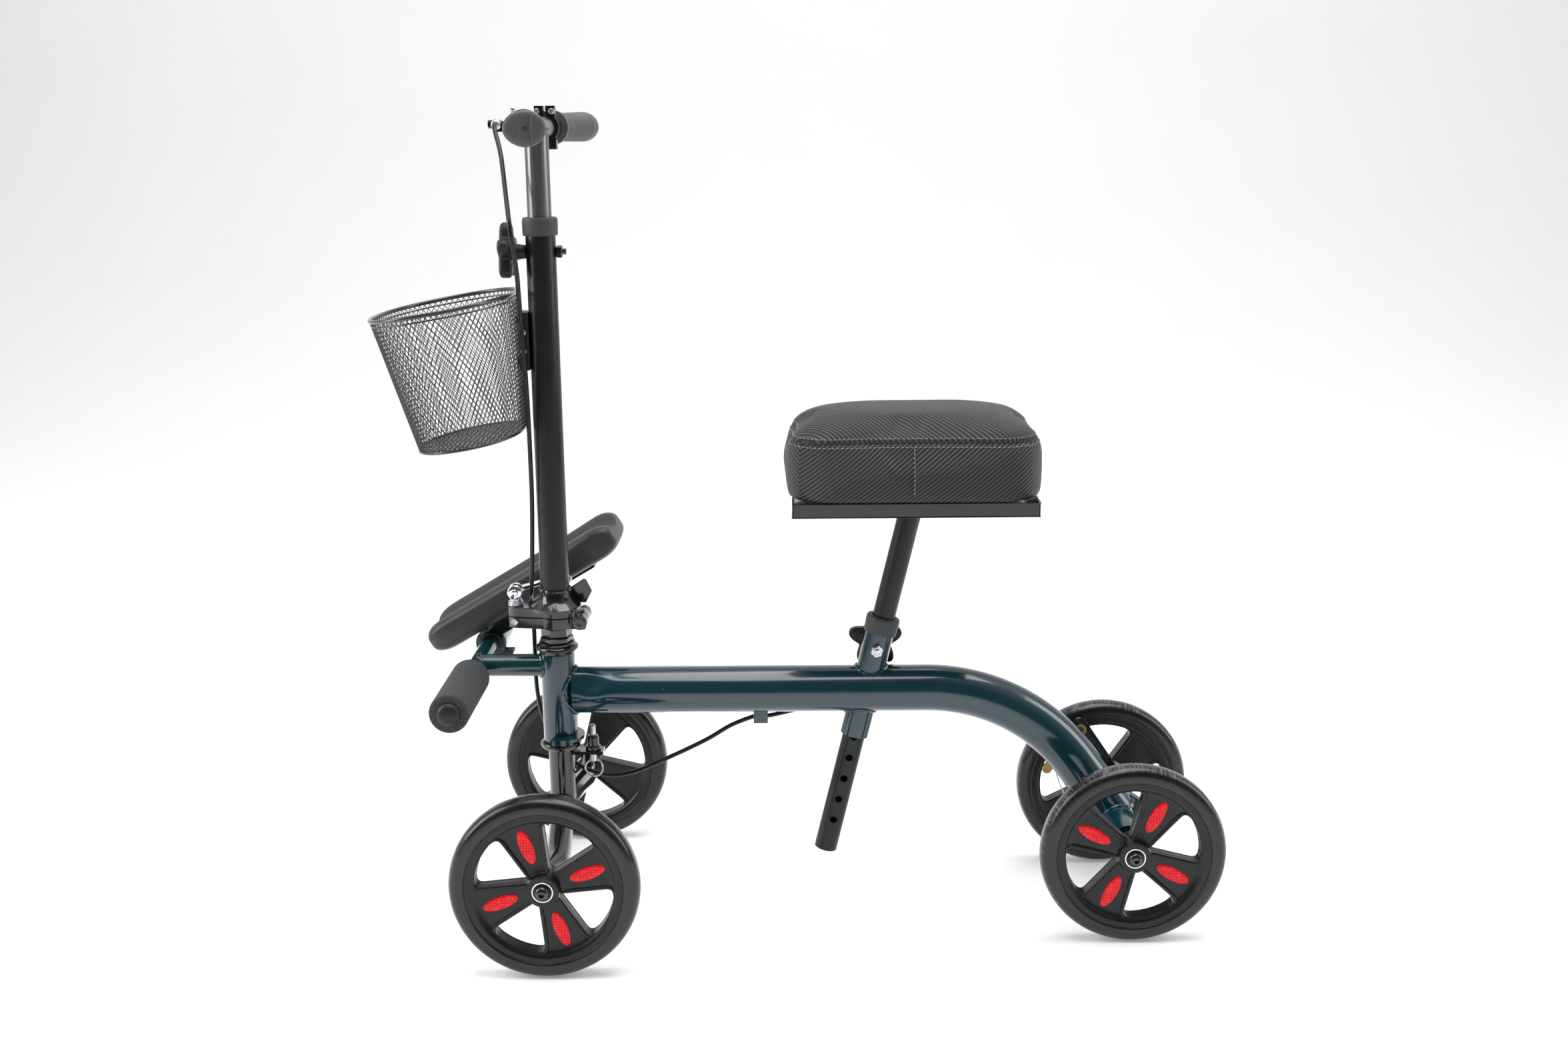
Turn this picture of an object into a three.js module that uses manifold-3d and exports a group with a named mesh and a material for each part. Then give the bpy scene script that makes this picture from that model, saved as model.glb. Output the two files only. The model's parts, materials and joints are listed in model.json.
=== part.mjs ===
// A knee scooter: four wheels, a steered and folding handlebar column, a knee cushion on a sliding
// post, a padded leg rest, a wire basket and a cable brake on one rear wheel.
// Millimetres. +Z is up, the scooter faces -X, and the rider's left side, with the foam roller, is -Y.
// Every position below is measured from the middle of the wheelbase on the ground. The last lines move
// the whole group so that its own origin is the bottom centre of its bounding box.

import * as THREE from "three";
import { mergeVertices } from "three/addons/utils/BufferGeometryUtils.js";
import Module from "manifold-3d";

const wasm = await Module();
wasm.setup();

// ---------------------------------------------------------------- driving dimensions
const GAP = 0.3; // running clearance between touching pieces
const FINE = 16; // sides of the large tubes
const ROUND = 12; // sides of the middling rods
const SMALL = 10; // sides of bolts and knob bosses
const HOLE = 8; // sides of small holes

const WHEEL_RADIUS = 100;
const WHEELBASE = 624;
const FRONT_TRACK = 364;
const REAR_TRACK = 210;
const FRONT_AXLE_X = -WHEELBASE / 2;
const REAR_AXLE_X = WHEELBASE / 2;
const WHEEL_STEPS = 24;

const TYRE_INNER_RADIUS = 83;
const TYRE_HALF_WIDTH = 14;
const TYRE_FLAT_HALF = 5;
const HUB_RADIUS = 17;
const HUB_HALF_WIDTH = 18;
const HUB_BORE = 5;
const WINDOW_COUNT = 4;
const WINDOW_OUTER_RADIUS = 73;
const WINDOW_INNER_RADIUS = 29;
const WINDOW_HALF_ANGLE = 27;
const WINDOW_CORNER = 9;

const STEER_X = -316;
const STEERER_RADIUS = 12.7;
const HEAD_TUBE_RADIUS = 19;
const HEAD_TUBE_BORE = 14.4;
const HEAD_TUBE_BOTTOM = 195;
const HEAD_TUBE_TOP = 298;

const MAIN_TUBE_RADIUS = 26;
const MAIN_TUBE_Z = 252.7;
const BEND_START_X = 95;
const BEND_RADIUS = 208;
const BEND_ANGLE = THREE.MathUtils.degToRad(54);
const REAR_AXLE_TUBE_RADIUS = 19;
const REAR_AXLE_TUBE_HALF = 78;
const AXLE_BOLT_RADIUS = 4;

const BACKPLATE_THICKNESS = 3;
const BRAKE_PIVOT = new THREE.Vector3(REAR_AXLE_X - 30, 0, WHEEL_RADIUS + 74);
const BRAKE_TIP = new THREE.Vector3(REAR_AXLE_X - 68, 0, WHEEL_RADIUS + 26);
const BRAKE_STUD_RADIUS = 3;
const BRAKE_ARM_INNER_Y = 74.6;
const BRAKE_ARM_OUTER_Y = 78;

const CROSSBAR_X = -406;
const CROSSBAR_Z = 282;
const CROSSBAR_RADIUS = 10.5;
const CROSSBAR_HALF = 162;
const STUB_RADIUS = 12.5;
const FOAM_RADIUS = 21;
const FOAM_BORE = 10.8;
const FOAM_INNER_Y = -42;
const FOAM_OUTER_Y = -166;

const POST_FOOT = new THREE.Vector3(-18, 0, 62);
const POST_HEAD = new THREE.Vector3(77.6, 0, 459);
const POST_RADIUS = 12.7;
const POST_WALL = 1.6;
const SLEEVE_RADIUS = 16;
const SLEEVE_BORE = 13;
const SLEEVE_START = 141;
const SLEEVE_END = 262;
const POST_HOLE_RADIUS = 4.2;
const POST_HOLE_PITCH = 25.4;
const POST_FIRST_HOLE = 39;
const POST_HOLE_COUNT = 6;

const TRAY_BOTTOM = 466;
const TRAY_TOP = 481;
const TRAY_X0 = -52;
const TRAY_X1 = 208;
const TRAY_HALF_WIDTH = 82;
const TRAY_SHEET = 2;
const CUSHION_X0 = -58;
const CUSHION_X1 = 213;
const CUSHION_TOP = 567;
const CUSHION_HALF_WIDTH = 89;
const CUSHION_CORNER = 36;
const CUSHION_ROUND = 12;

const HINGE_X = -287;
const HINGE_Z = 337;
const CLAMP_SPLIT = 341;
const CLAMP_BOTTOM = 328.5;
const CLAMP_TOP = 352;
const CLAMP_HALF_WIDTH = 21;
const CLAMP_PIN_X = -360;
const CLAMP_PIN_Z = 336;
const KNUCKLE_HALF = 11.5;
const CAM_Z = 368;
const CAM_RADIUS = 8;

const COLUMN_RADIUS = 15.9;
const COLUMN_BORE = 13.1;
const COLUMN_TOP = 772;
const COLLAR_TOP = 776;
const COLLAR_BOTTOM = 757;
const HEIGHT_BOLT_Z = 740;
const STEM_RADIUS = 12.7;
const STEM_FOOT = 600;
const BAR_Z = 868;
const BAR_RADIUS = 11.1;
const BAR_STRAIGHT = 78;
const BAR_HALF = 214;
const BAR_SWEEP = 22;
const LEVER_PIVOT = new THREE.Vector3(STEER_X - 36, 88, BAR_Z);
const PARKING_PIN = new THREE.Vector3(STEER_X - 40, 98.5, BAR_Z);

const BASKET_TILT = THREE.MathUtils.degToRad(9.5);
const BASKET_BACK = new THREE.Vector3(-343, 0, 700);
const BASKET_HEIGHT = 150;
const BASKET_TOP_DEPTH = 160;
const BASKET_TOP_WIDTH = 210;
const BASKET_BOTTOM_DEPTH = 116;
const BASKET_BOTTOM_WIDTH = 160;
const BASKET_FLOOR_SETBACK = 24;
const BASKET_SHEET = 2;

const PAD_Y = 110;
const PAD_HALF_WIDTH = 50;
const PAD_LENGTH = 250;
const PAD_THICKNESS = 38;
const PAD_CORNER = 12;
const PAD_TILT = THREE.MathUtils.degToRad(30.6);
const PAD_CENTRE = new THREE.Vector3(-365, 0, 349.5);
const PAD_TROUGH_RADIUS = 62;
const PAD_TROUGH_DEPTH = 15;

// ---------------------------------------------------------------- materials
const TEAL = { color: 0x1d3d47, roughness: 0.25, metalness: 0.3 };
const BLACK_PAINT = { color: 0x16181a, roughness: 0.3, metalness: 0.3 };
const DARK_STEEL = { color: 0x2a2c2e, roughness: 0.5, metalness: 0.4 };
const CHROME = { color: 0xc8cacc, roughness: 0.15, metalness: 1 };
const ZINC = { color: 0xb9bcbf, roughness: 0.35, metalness: 0.9 };
const BRASS_ZINC = { color: 0xc9a24b, roughness: 0.35, metalness: 0.9 };
const PLASTIC = { color: 0x1b1c1e, roughness: 0.55, metalness: 0 };
const TYRE = { color: 0x141414, roughness: 0.4, metalness: 0 };
const FOAM = { color: 0x3c3d3f, roughness: 0.9, metalness: 0 };
const RUBBER = { color: 0x1c1c1d, roughness: 0.7, metalness: 0 };
const VINYL = { color: 0x222325, roughness: 0.5, metalness: 0 };

// ---------------------------------------------------------------- solid helpers
// A manifold-3d solid of a closed three.js geometry.
function solid(geometry) {
  const bare = geometry.index ? geometry.toNonIndexed() : geometry.clone();
  bare.deleteAttribute("normal");
  bare.deleteAttribute("uv");
  const merged = mergeVertices(bare, 1e-3);
  const index = merged.index.array;
  const triangles = [];
  for (let i = 0; i < index.length; i += 3) {
    const [a, b, c] = [index[i], index[i + 1], index[i + 2]];
    if (a !== b && b !== c && c !== a) triangles.push(a, b, c);
  }
  const mesh = new wasm.Mesh({
    numProp: 3,
    vertProperties: merged.attributes.position.array,
    triVerts: new Uint32Array(triangles),
  });
  return new wasm.Manifold(mesh);
}

// The three.js geometry of a manifold-3d solid.
function surface(manifold) {
  const mesh = manifold.getMesh();
  const geometry = new THREE.BufferGeometry();
  geometry.setAttribute("position", new THREE.BufferAttribute(mesh.vertProperties, 3));
  geometry.setIndex(new THREE.BufferAttribute(mesh.triVerts, 1));
  return geometry;
}

function join(...geometries) {
  return surface(geometries.map(solid).reduce((sum, next) => sum.add(next)));
}

function cut(base, ...tools) {
  return surface(tools.map(solid).reduce((rest, next) => rest.subtract(next), solid(base)));
}

// A round rod or cone from point a to point b.
function rod(a, b, radius, steps = 20, endRadius = radius) {
  const along = new THREE.Vector3().subVectors(b, a);
  const geometry = new THREE.CylinderGeometry(endRadius, radius, along.length(), steps);
  const turn = new THREE.Quaternion().setFromUnitVectors(new THREE.Vector3(0, 1, 0), along.normalize());
  geometry.applyQuaternion(turn);
  const middle = new THREE.Vector3().addVectors(a, b).multiplyScalar(0.5);
  return geometry.translate(middle.x, middle.y, middle.z);
}

function point(x, y, z) {
  return new THREE.Vector3(x, y, z);
}

function rodX(y, z, x0, x1, radius, steps) {
  return rod(point(x0, y, z), point(x1, y, z), radius, steps);
}

function rodY(x, z, y0, y1, radius, steps) {
  return rod(point(x, y0, z), point(x, y1, z), radius, steps);
}

function rodZ(x, y, z0, z1, radius, steps) {
  return rod(point(x, y, z0), point(x, y, z1), radius, steps);
}

function block(x0, x1, y0, y1, z0, z1) {
  const geometry = new THREE.BoxGeometry(x1 - x0, y1 - y0, z1 - z0);
  return geometry.translate((x0 + x1) / 2, (y0 + y1) / 2, (z0 + z1) / 2);
}

// A ring turned about a line parallel to Y: the profile is pairs of radius and y, in order round it.
function ringY(profile, steps, x, y, z) {
  const points = profile.map(([r, h]) => new THREE.Vector2(r, h));
  points.push(points[0].clone());
  const geometry = new THREE.LatheGeometry(points, steps);
  return geometry.rotateY(Math.PI / steps).translate(x, y, z);
}

// A tube along a curve, with flat ends.
function swept(curve, radius, sides, steps) {
  const section = new THREE.Shape();
  for (let i = 0; i < sides; i += 1) {
    const angle = (2 * Math.PI * i) / sides;
    const [x, y] = [radius * Math.cos(angle), radius * Math.sin(angle)];
    if (i === 0) section.moveTo(x, y);
    else section.lineTo(x, y);
  }
  section.closePath();
  return new THREE.ExtrudeGeometry(section, { steps, extrudePath: curve, bevelEnabled: false });
}

// A rectangle with round corners, drawn in the XY plane.
function roundedRectangle(halfX, halfY, corner) {
  const shape = new THREE.Shape();
  shape.moveTo(-halfX + corner, -halfY);
  shape.lineTo(halfX - corner, -halfY);
  shape.absarc(halfX - corner, -halfY + corner, corner, -Math.PI / 2, 0, false);
  shape.lineTo(halfX, halfY - corner);
  shape.absarc(halfX - corner, halfY - corner, corner, 0, Math.PI / 2, false);
  shape.lineTo(-halfX + corner, halfY);
  shape.absarc(-halfX + corner, halfY - corner, corner, Math.PI / 2, Math.PI, false);
  shape.lineTo(-halfX, -halfY + corner);
  shape.absarc(-halfX + corner, -halfY + corner, corner, Math.PI, 1.5 * Math.PI, false);
  return shape;
}

function extruded(shape, depth, curveSegments = 3) {
  return new THREE.ExtrudeGeometry(shape, { depth, bevelEnabled: false, curveSegments });
}

// A star knob with round lobes, turned about Z, its face at z = 0 and its back at z = depth.
function starKnob(lobes, lobeReach, lobeRadius, coreRadius, depth) {
  const core = rodZ(0, 0, 0, depth, coreRadius, ROUND);
  const parts = [core];
  for (let i = 0; i < lobes; i += 1) {
    const angle = Math.PI / 2 + (2 * Math.PI * i) / lobes;
    const tip = point(lobeReach * Math.cos(angle), lobeReach * Math.sin(angle), 0);
    const lobe = extruded(roundedRectangle(lobeReach / 2, lobeRadius, lobeRadius * 0.9), depth * 0.8, 2);
    lobe.translate(lobeReach / 2, 0, depth * 0.1).rotateZ(Math.atan2(tip.y, tip.x));
    parts.push(lobe);
  }
  return join(...parts);
}

// ---------------------------------------------------------------- scene graph
const root = new THREE.Group();

function add(name, geometry, look) {
  const mesh = new THREE.Mesh(geometry, new THREE.MeshStandardMaterial(look));
  mesh.name = name;
  root.add(mesh);
  return mesh;
}

// ---------------------------------------------------------------- frame
// The bent main tube's middle line, from the head tube to the rear axle.
function mainTubePath() {
  const path = new THREE.CurvePath();
  const bendEnd = point(
    BEND_START_X + BEND_RADIUS * Math.sin(BEND_ANGLE),
    0,
    MAIN_TUBE_Z - BEND_RADIUS * (1 - Math.cos(BEND_ANGLE)),
  );
  const bend = [];
  for (let i = 0; i <= 8; i += 1) {
    const angle = (BEND_ANGLE * i) / 8;
    const x = BEND_START_X + BEND_RADIUS * Math.sin(angle);
    bend.push(point(x, 0, MAIN_TUBE_Z - BEND_RADIUS * (1 - Math.cos(angle))));
  }
  path.add(new THREE.LineCurve3(point(STEER_X, 0, MAIN_TUBE_Z), bend[0]));
  for (let i = 0; i < 8; i += 1) path.add(new THREE.LineCurve3(bend[i], bend[i + 1]));
  path.add(new THREE.LineCurve3(bendEnd, point(REAR_AXLE_X, 0, WHEEL_RADIUS)));
  return path;
}

function postPoint(distance) {
  const along = new THREE.Vector3().subVectors(POST_HEAD, POST_FOOT).normalize();
  return POST_FOOT.clone().addScaledVector(along, distance);
}

function mainFrame() {
  const mainTube = swept(mainTubePath(), MAIN_TUBE_RADIUS, FINE, 20);
  const headTube = rodZ(STEER_X, 0, HEAD_TUBE_BOTTOM, HEAD_TUBE_TOP, HEAD_TUBE_RADIUS, FINE);
  const sleeve = rod(postPoint(SLEEVE_START), postPoint(SLEEVE_END), SLEEVE_RADIUS, FINE);
  const axleTube = rodY(
    REAR_AXLE_X,
    WHEEL_RADIUS,
    -REAR_AXLE_TUBE_HALF,
    REAR_AXLE_TUBE_HALF,
    REAR_AXLE_TUBE_RADIUS,
    24,
  );
  const stub = rodX(0, CROSSBAR_Z, CROSSBAR_X, STEER_X, STUB_RADIUS, ROUND);
  const crossbar = rodY(CROSSBAR_X, CROSSBAR_Z, -CROSSBAR_HALF, CROSSBAR_HALF, CROSSBAR_RADIUS, ROUND);
  const stopTab = block(STEER_X - 8, STEER_X + 17, -28, -16, 196, 203);
  const lockFlange = cut(
    rodZ(STEER_X, 0, 197, 201, 27, FINE),
    block(STEER_X - 40, STEER_X + 6, -40, 40, 190, 210),
  );
  const welded = join(mainTube, headTube, sleeve, axleTube, stub, crossbar, stopTab, lockFlange);
  return cut(
    welded,
    rodZ(STEER_X, 0, HEAD_TUBE_BOTTOM - 5, HEAD_TUBE_TOP + 5, HEAD_TUBE_BORE, FINE),
    rod(postPoint(SLEEVE_START - 20), postPoint(SLEEVE_END + 20), SLEEVE_BORE, FINE),
    rodY(REAR_AXLE_X, WHEEL_RADIUS, -90, -60, AXLE_BOLT_RADIUS + GAP, HOLE),
    rodY(REAR_AXLE_X, WHEEL_RADIUS, 60, 90, AXLE_BOLT_RADIUS + GAP, HOLE),
  );
}

// A bearing cup from z0 to z1 with a wider flange from flangeZ0 to flangeZ1.
function headsetCup(z0, z1, flangeZ0, flangeZ1, flangeRadius) {
  const flange = rodZ(STEER_X, 0, flangeZ0, flangeZ1, flangeRadius, FINE);
  const body = rodZ(STEER_X, 0, z0, z1, flangeRadius - 3, FINE);
  return cut(join(flange, body), rodZ(STEER_X, 0, z0 - 5, z1 + 5, STEERER_RADIUS + 0.6, FINE));
}

function foamRoller() {
  const outline = [
    [FOAM_BORE, FOAM_OUTER_Y],
    [FOAM_RADIUS - 1, FOAM_OUTER_Y],
    [FOAM_RADIUS, FOAM_OUTER_Y + 1],
    [FOAM_RADIUS, FOAM_INNER_Y - 1],
    [FOAM_RADIUS - 1, FOAM_INNER_Y],
    [FOAM_BORE, FOAM_INNER_Y],
  ];
  return ringY(outline, FINE, CROSSBAR_X, 0, CROSSBAR_Z);
}

function rollerPlug() {
  const cap = new THREE.LatheGeometry(
    [
      new THREE.Vector2(0, 0),
      new THREE.Vector2(12.5, 0),
      new THREE.Vector2(12.5, 1.5),
      new THREE.Vector2(10.5, 4.6),
      new THREE.Vector2(6, 6.6),
      new THREE.Vector2(0, 7.4),
    ],
    20,
  );
  return cap.rotateX(Math.PI).translate(CROSSBAR_X, FOAM_OUTER_Y - GAP, CROSSBAR_Z);
}

function seatCollar() {
  const top = postPoint(282);
  const shoulder = postPoint(SLEEVE_END + GAP);
  const body = rod(shoulder, top, SLEEVE_RADIUS + 2.6, FINE);
  return cut(body, rod(postPoint(SLEEVE_END - 10), postPoint(300), SLEEVE_BORE, FINE));
}

function seatNut() {
  const centre = postPoint(246);
  return rodY(centre.x, centre.z, -SLEEVE_RADIUS - GAP, -SLEEVE_RADIUS - 7, 6.5, 6);
}

// A welded tab under the main tube, with a hole that the brake cable runs through.
function cableClip() {
  const underside = MAIN_TUBE_Z - MAIN_TUBE_RADIUS;
  const tab = block(-98, -82, -4, 12, underside - 14, underside + 3);
  const saddle = rodX(0, MAIN_TUBE_Z, -110, -70, MAIN_TUBE_RADIUS + GAP, FINE);
  return cut(tab, saddle, rodX(6, underside - 8.5, -110, -70, 4.2, HOLE));
}

// The plate between the axle tube and the braked wheel, with the stud that the brake arm swings on.
function brakeBackplate() {
  const outer = REAR_AXLE_TUBE_HALF + GAP + BACKPLATE_THICKNESS;
  const outline = new THREE.Shape();
  outline.absarc(REAR_AXLE_X, WHEEL_RADIUS, 30, Math.PI * 1.05, Math.PI * 0.05, false);
  outline.lineTo(REAR_AXLE_X - 22, WHEEL_RADIUS + 82);
  outline.absarc(REAR_AXLE_X - 30, WHEEL_RADIUS + 80, 8, 0.3, Math.PI, false);
  const plate = extruded(outline, BACKPLATE_THICKNESS).rotateX(Math.PI / 2).translate(0, outer, 0);
  const studStart = BRAKE_ARM_INNER_Y - 2;
  const stud = rodY(BRAKE_PIVOT.x, BRAKE_PIVOT.z, studStart, outer - 1, BRAKE_STUD_RADIUS, SMALL);
  const bore = rodY(REAR_AXLE_X, WHEEL_RADIUS, 70, 90, AXLE_BOLT_RADIUS + GAP, HOLE);
  return cut(join(plate, stud), bore);
}

function axleBolt(x, side, innerY, headY) {
  const shank = rodY(x, WHEEL_RADIUS, side * innerY, side * headY, AXLE_BOLT_RADIUS, HOLE);
  const head = rodY(x, WHEEL_RADIUS, side * headY, side * (headY + 4), 7, SMALL);
  const crown = rod(
    point(x, side * (headY + 4), WHEEL_RADIUS),
    point(x, side * (headY + 6.5), WHEEL_RADIUS),
    7,
    16,
    4.5,
  );
  const hex = rodY(x, WHEEL_RADIUS, side * (headY + 3), side * (headY + 8), 2.6, 6);
  return cut(join(shank, head, crown), hex);
}

// ---------------------------------------------------------------- fork and folding clamp
function fork() {
  const steerer = rodZ(STEER_X, 0, 150, 330, STEERER_RADIUS, FINE);
  const crown = rodZ(STEER_X, 0, 108, 186, 14.5, FINE);
  const parts = [steerer, crown];
  for (const side of [-1, 1]) {
    const knee = point(STEER_X + 9, side * 118, 103);
    const end = point(FRONT_AXLE_X + 1, side * (FRONT_TRACK / 2 - HUB_HALF_WIDTH - 1), WHEEL_RADIUS);
    parts.push(rod(point(STEER_X, 0, 121), knee, 13.5, ROUND));
    parts.push(rod(point(STEER_X + 8.6, side * 113, 103.3), end, 13.5, 20, 9.5));
  }
  const lockPlate = block(STEER_X + 8, STEER_X + 48, -9, 9, 178.5, 182);
  parts.push(lockPlate);
  const bores = [rodZ(STEER_X + 36, 0, 170, 190, 3.6, HOLE)];
  for (const side of [-1, 1]) {
    const outer = side * (FRONT_TRACK / 2 + 5);
    bores.push(rodY(FRONT_AXLE_X, WHEEL_RADIUS, side * 130, outer, AXLE_BOLT_RADIUS + GAP, HOLE));
  }
  return cut(join(...parts), ...bores);
}

function headsetNuts() {
  const washer = rodZ(STEER_X, 0, 306.6, 310, 20, FINE);
  const lower = rodZ(STEER_X, 0, 309.5, 316, 18.5, 6);
  const upper = rodZ(STEER_X, 0, 315.5, 328, 17.2, 6);
  return cut(join(washer, lower, upper), rodZ(STEER_X, 0, 300, 335, STEERER_RADIUS + GAP, FINE));
}

// A flat plate along the clamp, from x0 to x1 and z0 to z1, with round corners.
function clampPlate(x0, x1, halfWidth, corner, z0, z1) {
  const plate = extruded(roundedRectangle((x1 - x0) / 2, halfWidth, corner), z1 - z0);
  return plate.translate((x0 + x1) / 2, 0, z0);
}

// The lower half of the fold clamp: it sits on the steerer and carries both pins.
function clampBase() {
  const top = CLAMP_SPLIT - GAP;
  const plate = clampPlate(CLAMP_PIN_X - 8, HINGE_X + 8, CLAMP_HALF_WIDTH, 8, CLAMP_BOTTOM, top);
  return cut(
    plate,
    rodZ(STEER_X, 0, 320, 345, STEERER_RADIUS + GAP, FINE),
    block(CLAMP_PIN_X - 20, CLAMP_PIN_X + 8, -5, 5, 320, 345),
    rodY(CLAMP_PIN_X, CLAMP_PIN_Z, -30, 30, 3.4, HOLE),
    block(HINGE_X - 10.5, HINGE_X + 20, -KNUCKLE_HALF - 0.5, KNUCKLE_HALF + 0.5, 320, 345),
    rodY(HINGE_X, HINGE_Z, -30, 30, 3.4, HOLE),
  );
}

function clampPin() {
  return rodY(CLAMP_PIN_X, CLAMP_PIN_Z, -CLAMP_HALF_WIDTH - 1, CLAMP_HALF_WIDTH + 1, 3.1, SMALL);
}

function hingeBolt() {
  const shank = rodY(HINGE_X, HINGE_Z, -CLAMP_HALF_WIDTH - GAP, CLAMP_HALF_WIDTH + GAP, 3.1, SMALL);
  const head = rodY(HINGE_X, HINGE_Z, -CLAMP_HALF_WIDTH - 5, -CLAMP_HALF_WIDTH - GAP, 6, SMALL);
  const nut = rodY(HINGE_X, HINGE_Z, CLAMP_HALF_WIDTH + GAP, CLAMP_HALF_WIDTH + 5, 6, 6);
  return join(shank, head, nut);
}

// The upper half: a slotted lug in front, a cone round the column and a barrel on the hinge bolt.
function clampTop() {
  const bottom = CLAMP_SPLIT + GAP;
  const plate = clampPlate(CLAMP_PIN_X - 8, HINGE_X - 2, CLAMP_HALF_WIDTH - 1, 7, bottom, CLAMP_TOP);
  const cone = rod(point(STEER_X, 0, CLAMP_TOP - 1), point(STEER_X, 0, 368), 27, 24, 18.5);
  const barrel = rodY(HINGE_X, HINGE_Z, -KNUCKLE_HALF, KNUCKLE_HALF, 8, ROUND);
  const web = block(HINGE_X - 8, HINGE_X + 3, -KNUCKLE_HALF, KNUCKLE_HALF, HINGE_Z, CLAMP_TOP - 2);
  return cut(
    join(plate, cone, barrel, web),
    rodZ(STEER_X, 0, 344, 375, COLUMN_RADIUS + GAP, FINE),
    block(CLAMP_PIN_X - 20, CLAMP_PIN_X + 8, -5, 5, 335, 360),
    rodY(HINGE_X, HINGE_Z, -30, 30, 3.4, HOLE),
  );
}

// The eyebolt that pulls the two halves together, with its washers.
function clampEyebolt() {
  const shank = rodZ(CLAMP_PIN_X, 0, 340.5, CAM_Z - 3, 3, HOLE);
  const washer = rodZ(CLAMP_PIN_X, 0, CLAMP_TOP + GAP, CLAMP_TOP + 4, 8, ROUND);
  const spacer = rodZ(CLAMP_PIN_X, 0, CLAMP_TOP + 3.5, CLAMP_TOP + 7, 6, ROUND);
  return join(shank, washer, spacer);
}

// The cam is two cheeks on a thin axle, with the eyebolt between them, and the arm runs to the far side.
function clampLever() {
  const cheeks = [
    rodY(CLAMP_PIN_X, CAM_Z, -CAM_RADIUS, -3.4, CAM_RADIUS, ROUND),
    rodY(CLAMP_PIN_X, CAM_Z, 3.4, CAM_RADIUS, CAM_RADIUS, ROUND),
  ];
  const axle = rodY(CLAMP_PIN_X, CAM_Z, -4, 4, 2.4, HOLE);
  const arm = [
    rod(point(CLAMP_PIN_X + 4, 7.4, 369), point(CLAMP_PIN_X + 22, 22, 371), 3.4, 12, 3.4),
    rod(point(CLAMP_PIN_X + 21, 21.5, 371), point(CLAMP_PIN_X + 58, 27, 375), 3.6, 12, 3.4),
  ];
  return join(...cheeks, axle, ...arm);
}

function lockHousing() {
  const tube = rodZ(STEER_X + 36, 0, 182.3, 199, 6.4, ROUND);
  return cut(tube, rodZ(STEER_X + 36, 0, 180, 205, 3.9, SMALL));
}

function lockPin() {
  const pin = rodZ(STEER_X + 36, 0, 166, 212, 3.3, SMALL);
  const ring = new THREE.TorusGeometry(9, 1, 6, SMALL).rotateX(Math.PI / 2);
  ring.translate(STEER_X + 36, 0, 159);
  return join(pin, ring);
}

// ---------------------------------------------------------------- column
function columnTube() {
  const tube = rodZ(STEER_X, 0, 344.6, COLUMN_TOP, COLUMN_RADIUS, FINE);
  return cut(
    tube,
    rodZ(STEER_X, 0, 360, COLUMN_TOP + 5, COLUMN_BORE, FINE),
    rodX(0, HEIGHT_BOLT_Z, STEER_X - 30, STEER_X + 30, 4.2, HOLE),
  );
}

function columnCollar() {
  const sleeve = rodZ(STEER_X, 0, COLLAR_BOTTOM, COLLAR_TOP, 18.6, FINE);
  return cut(
    sleeve,
    rodZ(STEER_X, 0, COLLAR_BOTTOM - 5, COLUMN_TOP + GAP, COLUMN_RADIUS + GAP, FINE),
    rodZ(STEER_X, 0, COLUMN_TOP - 5, COLLAR_TOP + 5, COLUMN_BORE, FINE),
  );
}

// The height bolt's nut and the end of its thread, behind the column.
function heightNut() {
  const outside = STEER_X + COLUMN_RADIUS;
  const inside = STEER_X + COLUMN_BORE;
  const nut = rodX(0, HEIGHT_BOLT_Z, outside + GAP, outside + 7, 6.5, 6);
  const thread = rodX(0, HEIGHT_BOLT_Z, inside + 0.4, outside + 9, 3.6, HOLE);
  return join(nut, thread);
}

function heightKnob() {
  const knob = starKnob(5, 27, 6, 14, 13);
  knob.rotateY(-Math.PI / 2).translate(STEER_X - 30, 0, HEIGHT_BOLT_Z);
  const boss = rodX(0, HEIGHT_BOLT_Z, STEER_X - 31, STEER_X - COLUMN_RADIUS - 1.5, 7.5, ROUND);
  const thread = rodX(0, HEIGHT_BOLT_Z, STEER_X - 31, STEER_X - COLUMN_BORE - 0.4, 3.6, HOLE);
  return join(knob, boss, thread);
}

function basketBracket() {
  const body = block(STEER_X - 28, STEER_X - COLUMN_RADIUS + 8, -13, 13, 614, 678);
  const band = rodZ(STEER_X, 0, 626, 664, COLUMN_RADIUS + 3, FINE);
  const button = rodX(0, 640, STEER_X - 29.5, STEER_X - 27, 5, SMALL);
  return cut(
    join(body, band, button),
    rodZ(STEER_X, 0, 600, 700, COLUMN_RADIUS + GAP, FINE),
    basketHull(0).translate(0.5, 0, 0),
  );
}

// ---------------------------------------------------------------- handlebar
// A point on the bar's middle line: straight in the middle and swept back towards both ends.
function barPoint(y) {
  const beyond = Math.max(0, Math.abs(y) - BAR_STRAIGHT);
  const x = STEER_X + (BAR_SWEEP * beyond) / (BAR_HALF - BAR_STRAIGHT);
  return point(x, y, BAR_Z);
}

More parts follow.
